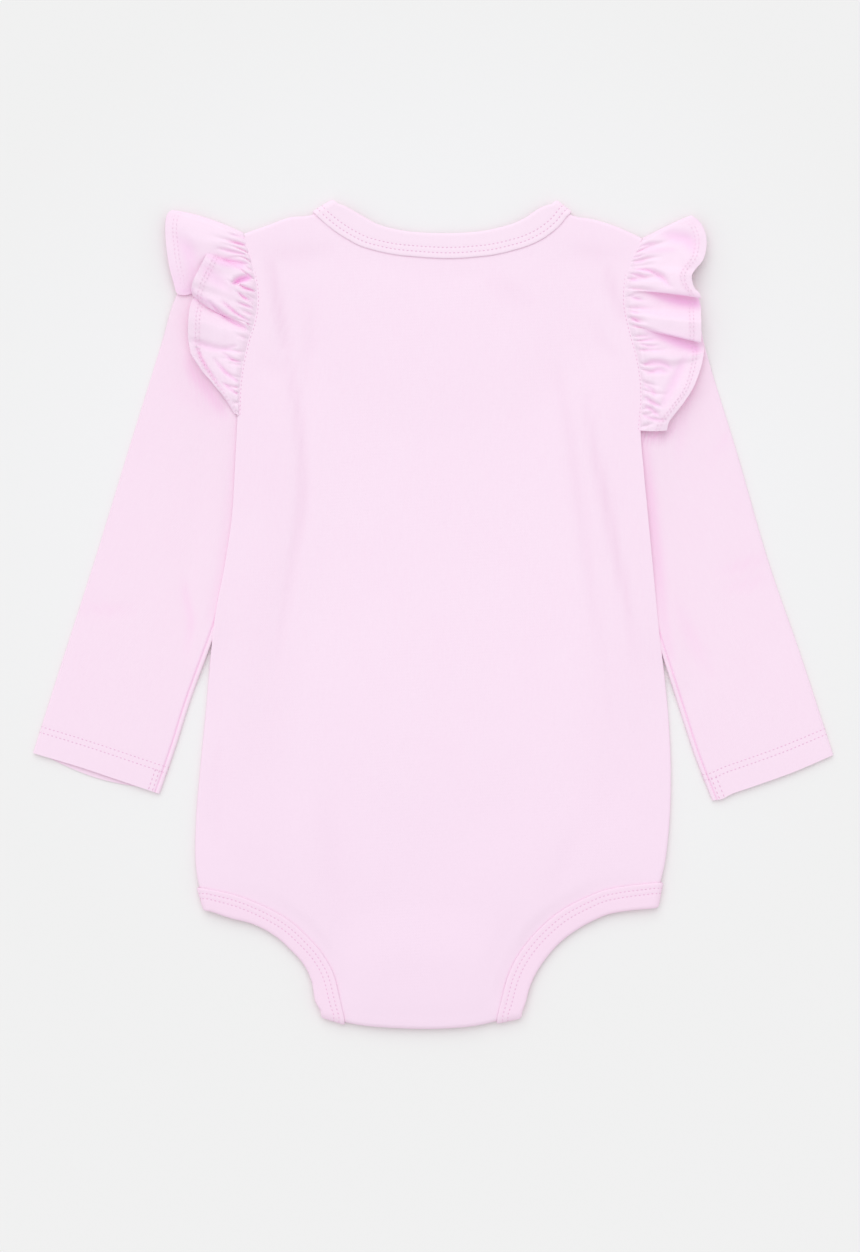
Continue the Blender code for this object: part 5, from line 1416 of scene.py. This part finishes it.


# Matt uncoated paper: no gloss and no pattern; its colour is painted lighter near the middle and
# falls off slowly, a painted pool of light.
paper = {"middle": "#F6EFF2", "far": "#F1EAEA", "centre": (0.0, 0.06, 0.0), "falloff": -3.6,
         "size": 6.0, "below": 0.2, "finish": {"Roughness": 0.85, "Specular IOR Level": 0.1}}


def mattPaper():
    made, tree, surface = newMaterial("paper")
    solid = addNode(tree, "TexCoord", {}).outputs["Object"]
    away = addNode(tree, "VectorMath", {0: solid, 1: paper["centre"]},
                   operation="DISTANCE").outputs["Value"]
    near = addNode(tree, "Math", {0: away, 1: paper["falloff"], 2: 1.0}, operation="MULTIPLY_ADD")
    mixed = addNode(tree, "Mix", {0: near, 6: hexColour(paper["far"]),
                                  7: hexColour(paper["middle"])}, data_type="RGBA").outputs[2]
    feed(tree, surface, {"Base Color": mixed, **paper["finish"]})
    return made


print("stage")
bpy.ops.mesh.primitive_plane_add(size=paper["size"], location=(0, 0, 0))
floor = bpy.context.object
floor.name = "floor"
for corner in floor.data.vertices:
    corner.co.z -= paper["below"] * mm
floor.data.materials.append(mattPaper())

# a wide, soft lamp and a bright room, both faintly cool
light = {"place": (-0.6, 2.3, 2.9), "angle": 1.1, "sun": 1.02, "world": 0.815,
         "tint": (0.935, 1.0, 1.0), "round": (1.08, 1.08, 1.08), "bounces": 10}
bpy.ops.object.light_add(type="SUN", location=light["place"])
lamp = bpy.context.object
lamp.data.angle, lamp.data.energy, lamp.data.color = light["angle"], light["sun"], light["tint"]
lamp.rotation_euler = (-lamp.location).to_track_quat("-Z", "Y").to_euler()
bpy.context.scene.cycles.diffuse_bounces = light["bounces"]

world = bpy.data.worlds.new("studio")
bpy.context.scene.world = world
world.use_nodes = True
tree = world.node_tree
# what is seen past the paper is plain white
seen = addNode(tree, "LightPath", {}).outputs["Is Camera Ray"]
sky = addNode(tree, "Mix", {0: seen, 6: (*light["tint"], 1.0), 7: (*light["round"], 1.0)},
              data_type="RGBA").outputs[2]
feed(tree, tree.nodes["Background"], {"Color": sky, "Strength": light["world"]})

# from straight above, turned a little
view = {"height": 1.6, "aim": (-1.2, -7.3), "wide": 0.4472, "turn": 0.02756, "sensor": 36.0}
bpy.ops.object.camera_add(location=(view["aim"][0] * mm, view["aim"][1] * mm, view["height"]))
camera = bpy.context.object
camera.rotation_euler = (0.0, 0.0, view["turn"])
camera.data.sensor_fit, camera.data.sensor_width = "HORIZONTAL", view["sensor"]
camera.data.lens = view["sensor"] * view["height"] / view["wide"]
bpy.context.scene.camera = camera
bpy.context.scene.view_settings.view_transform = "Standard"
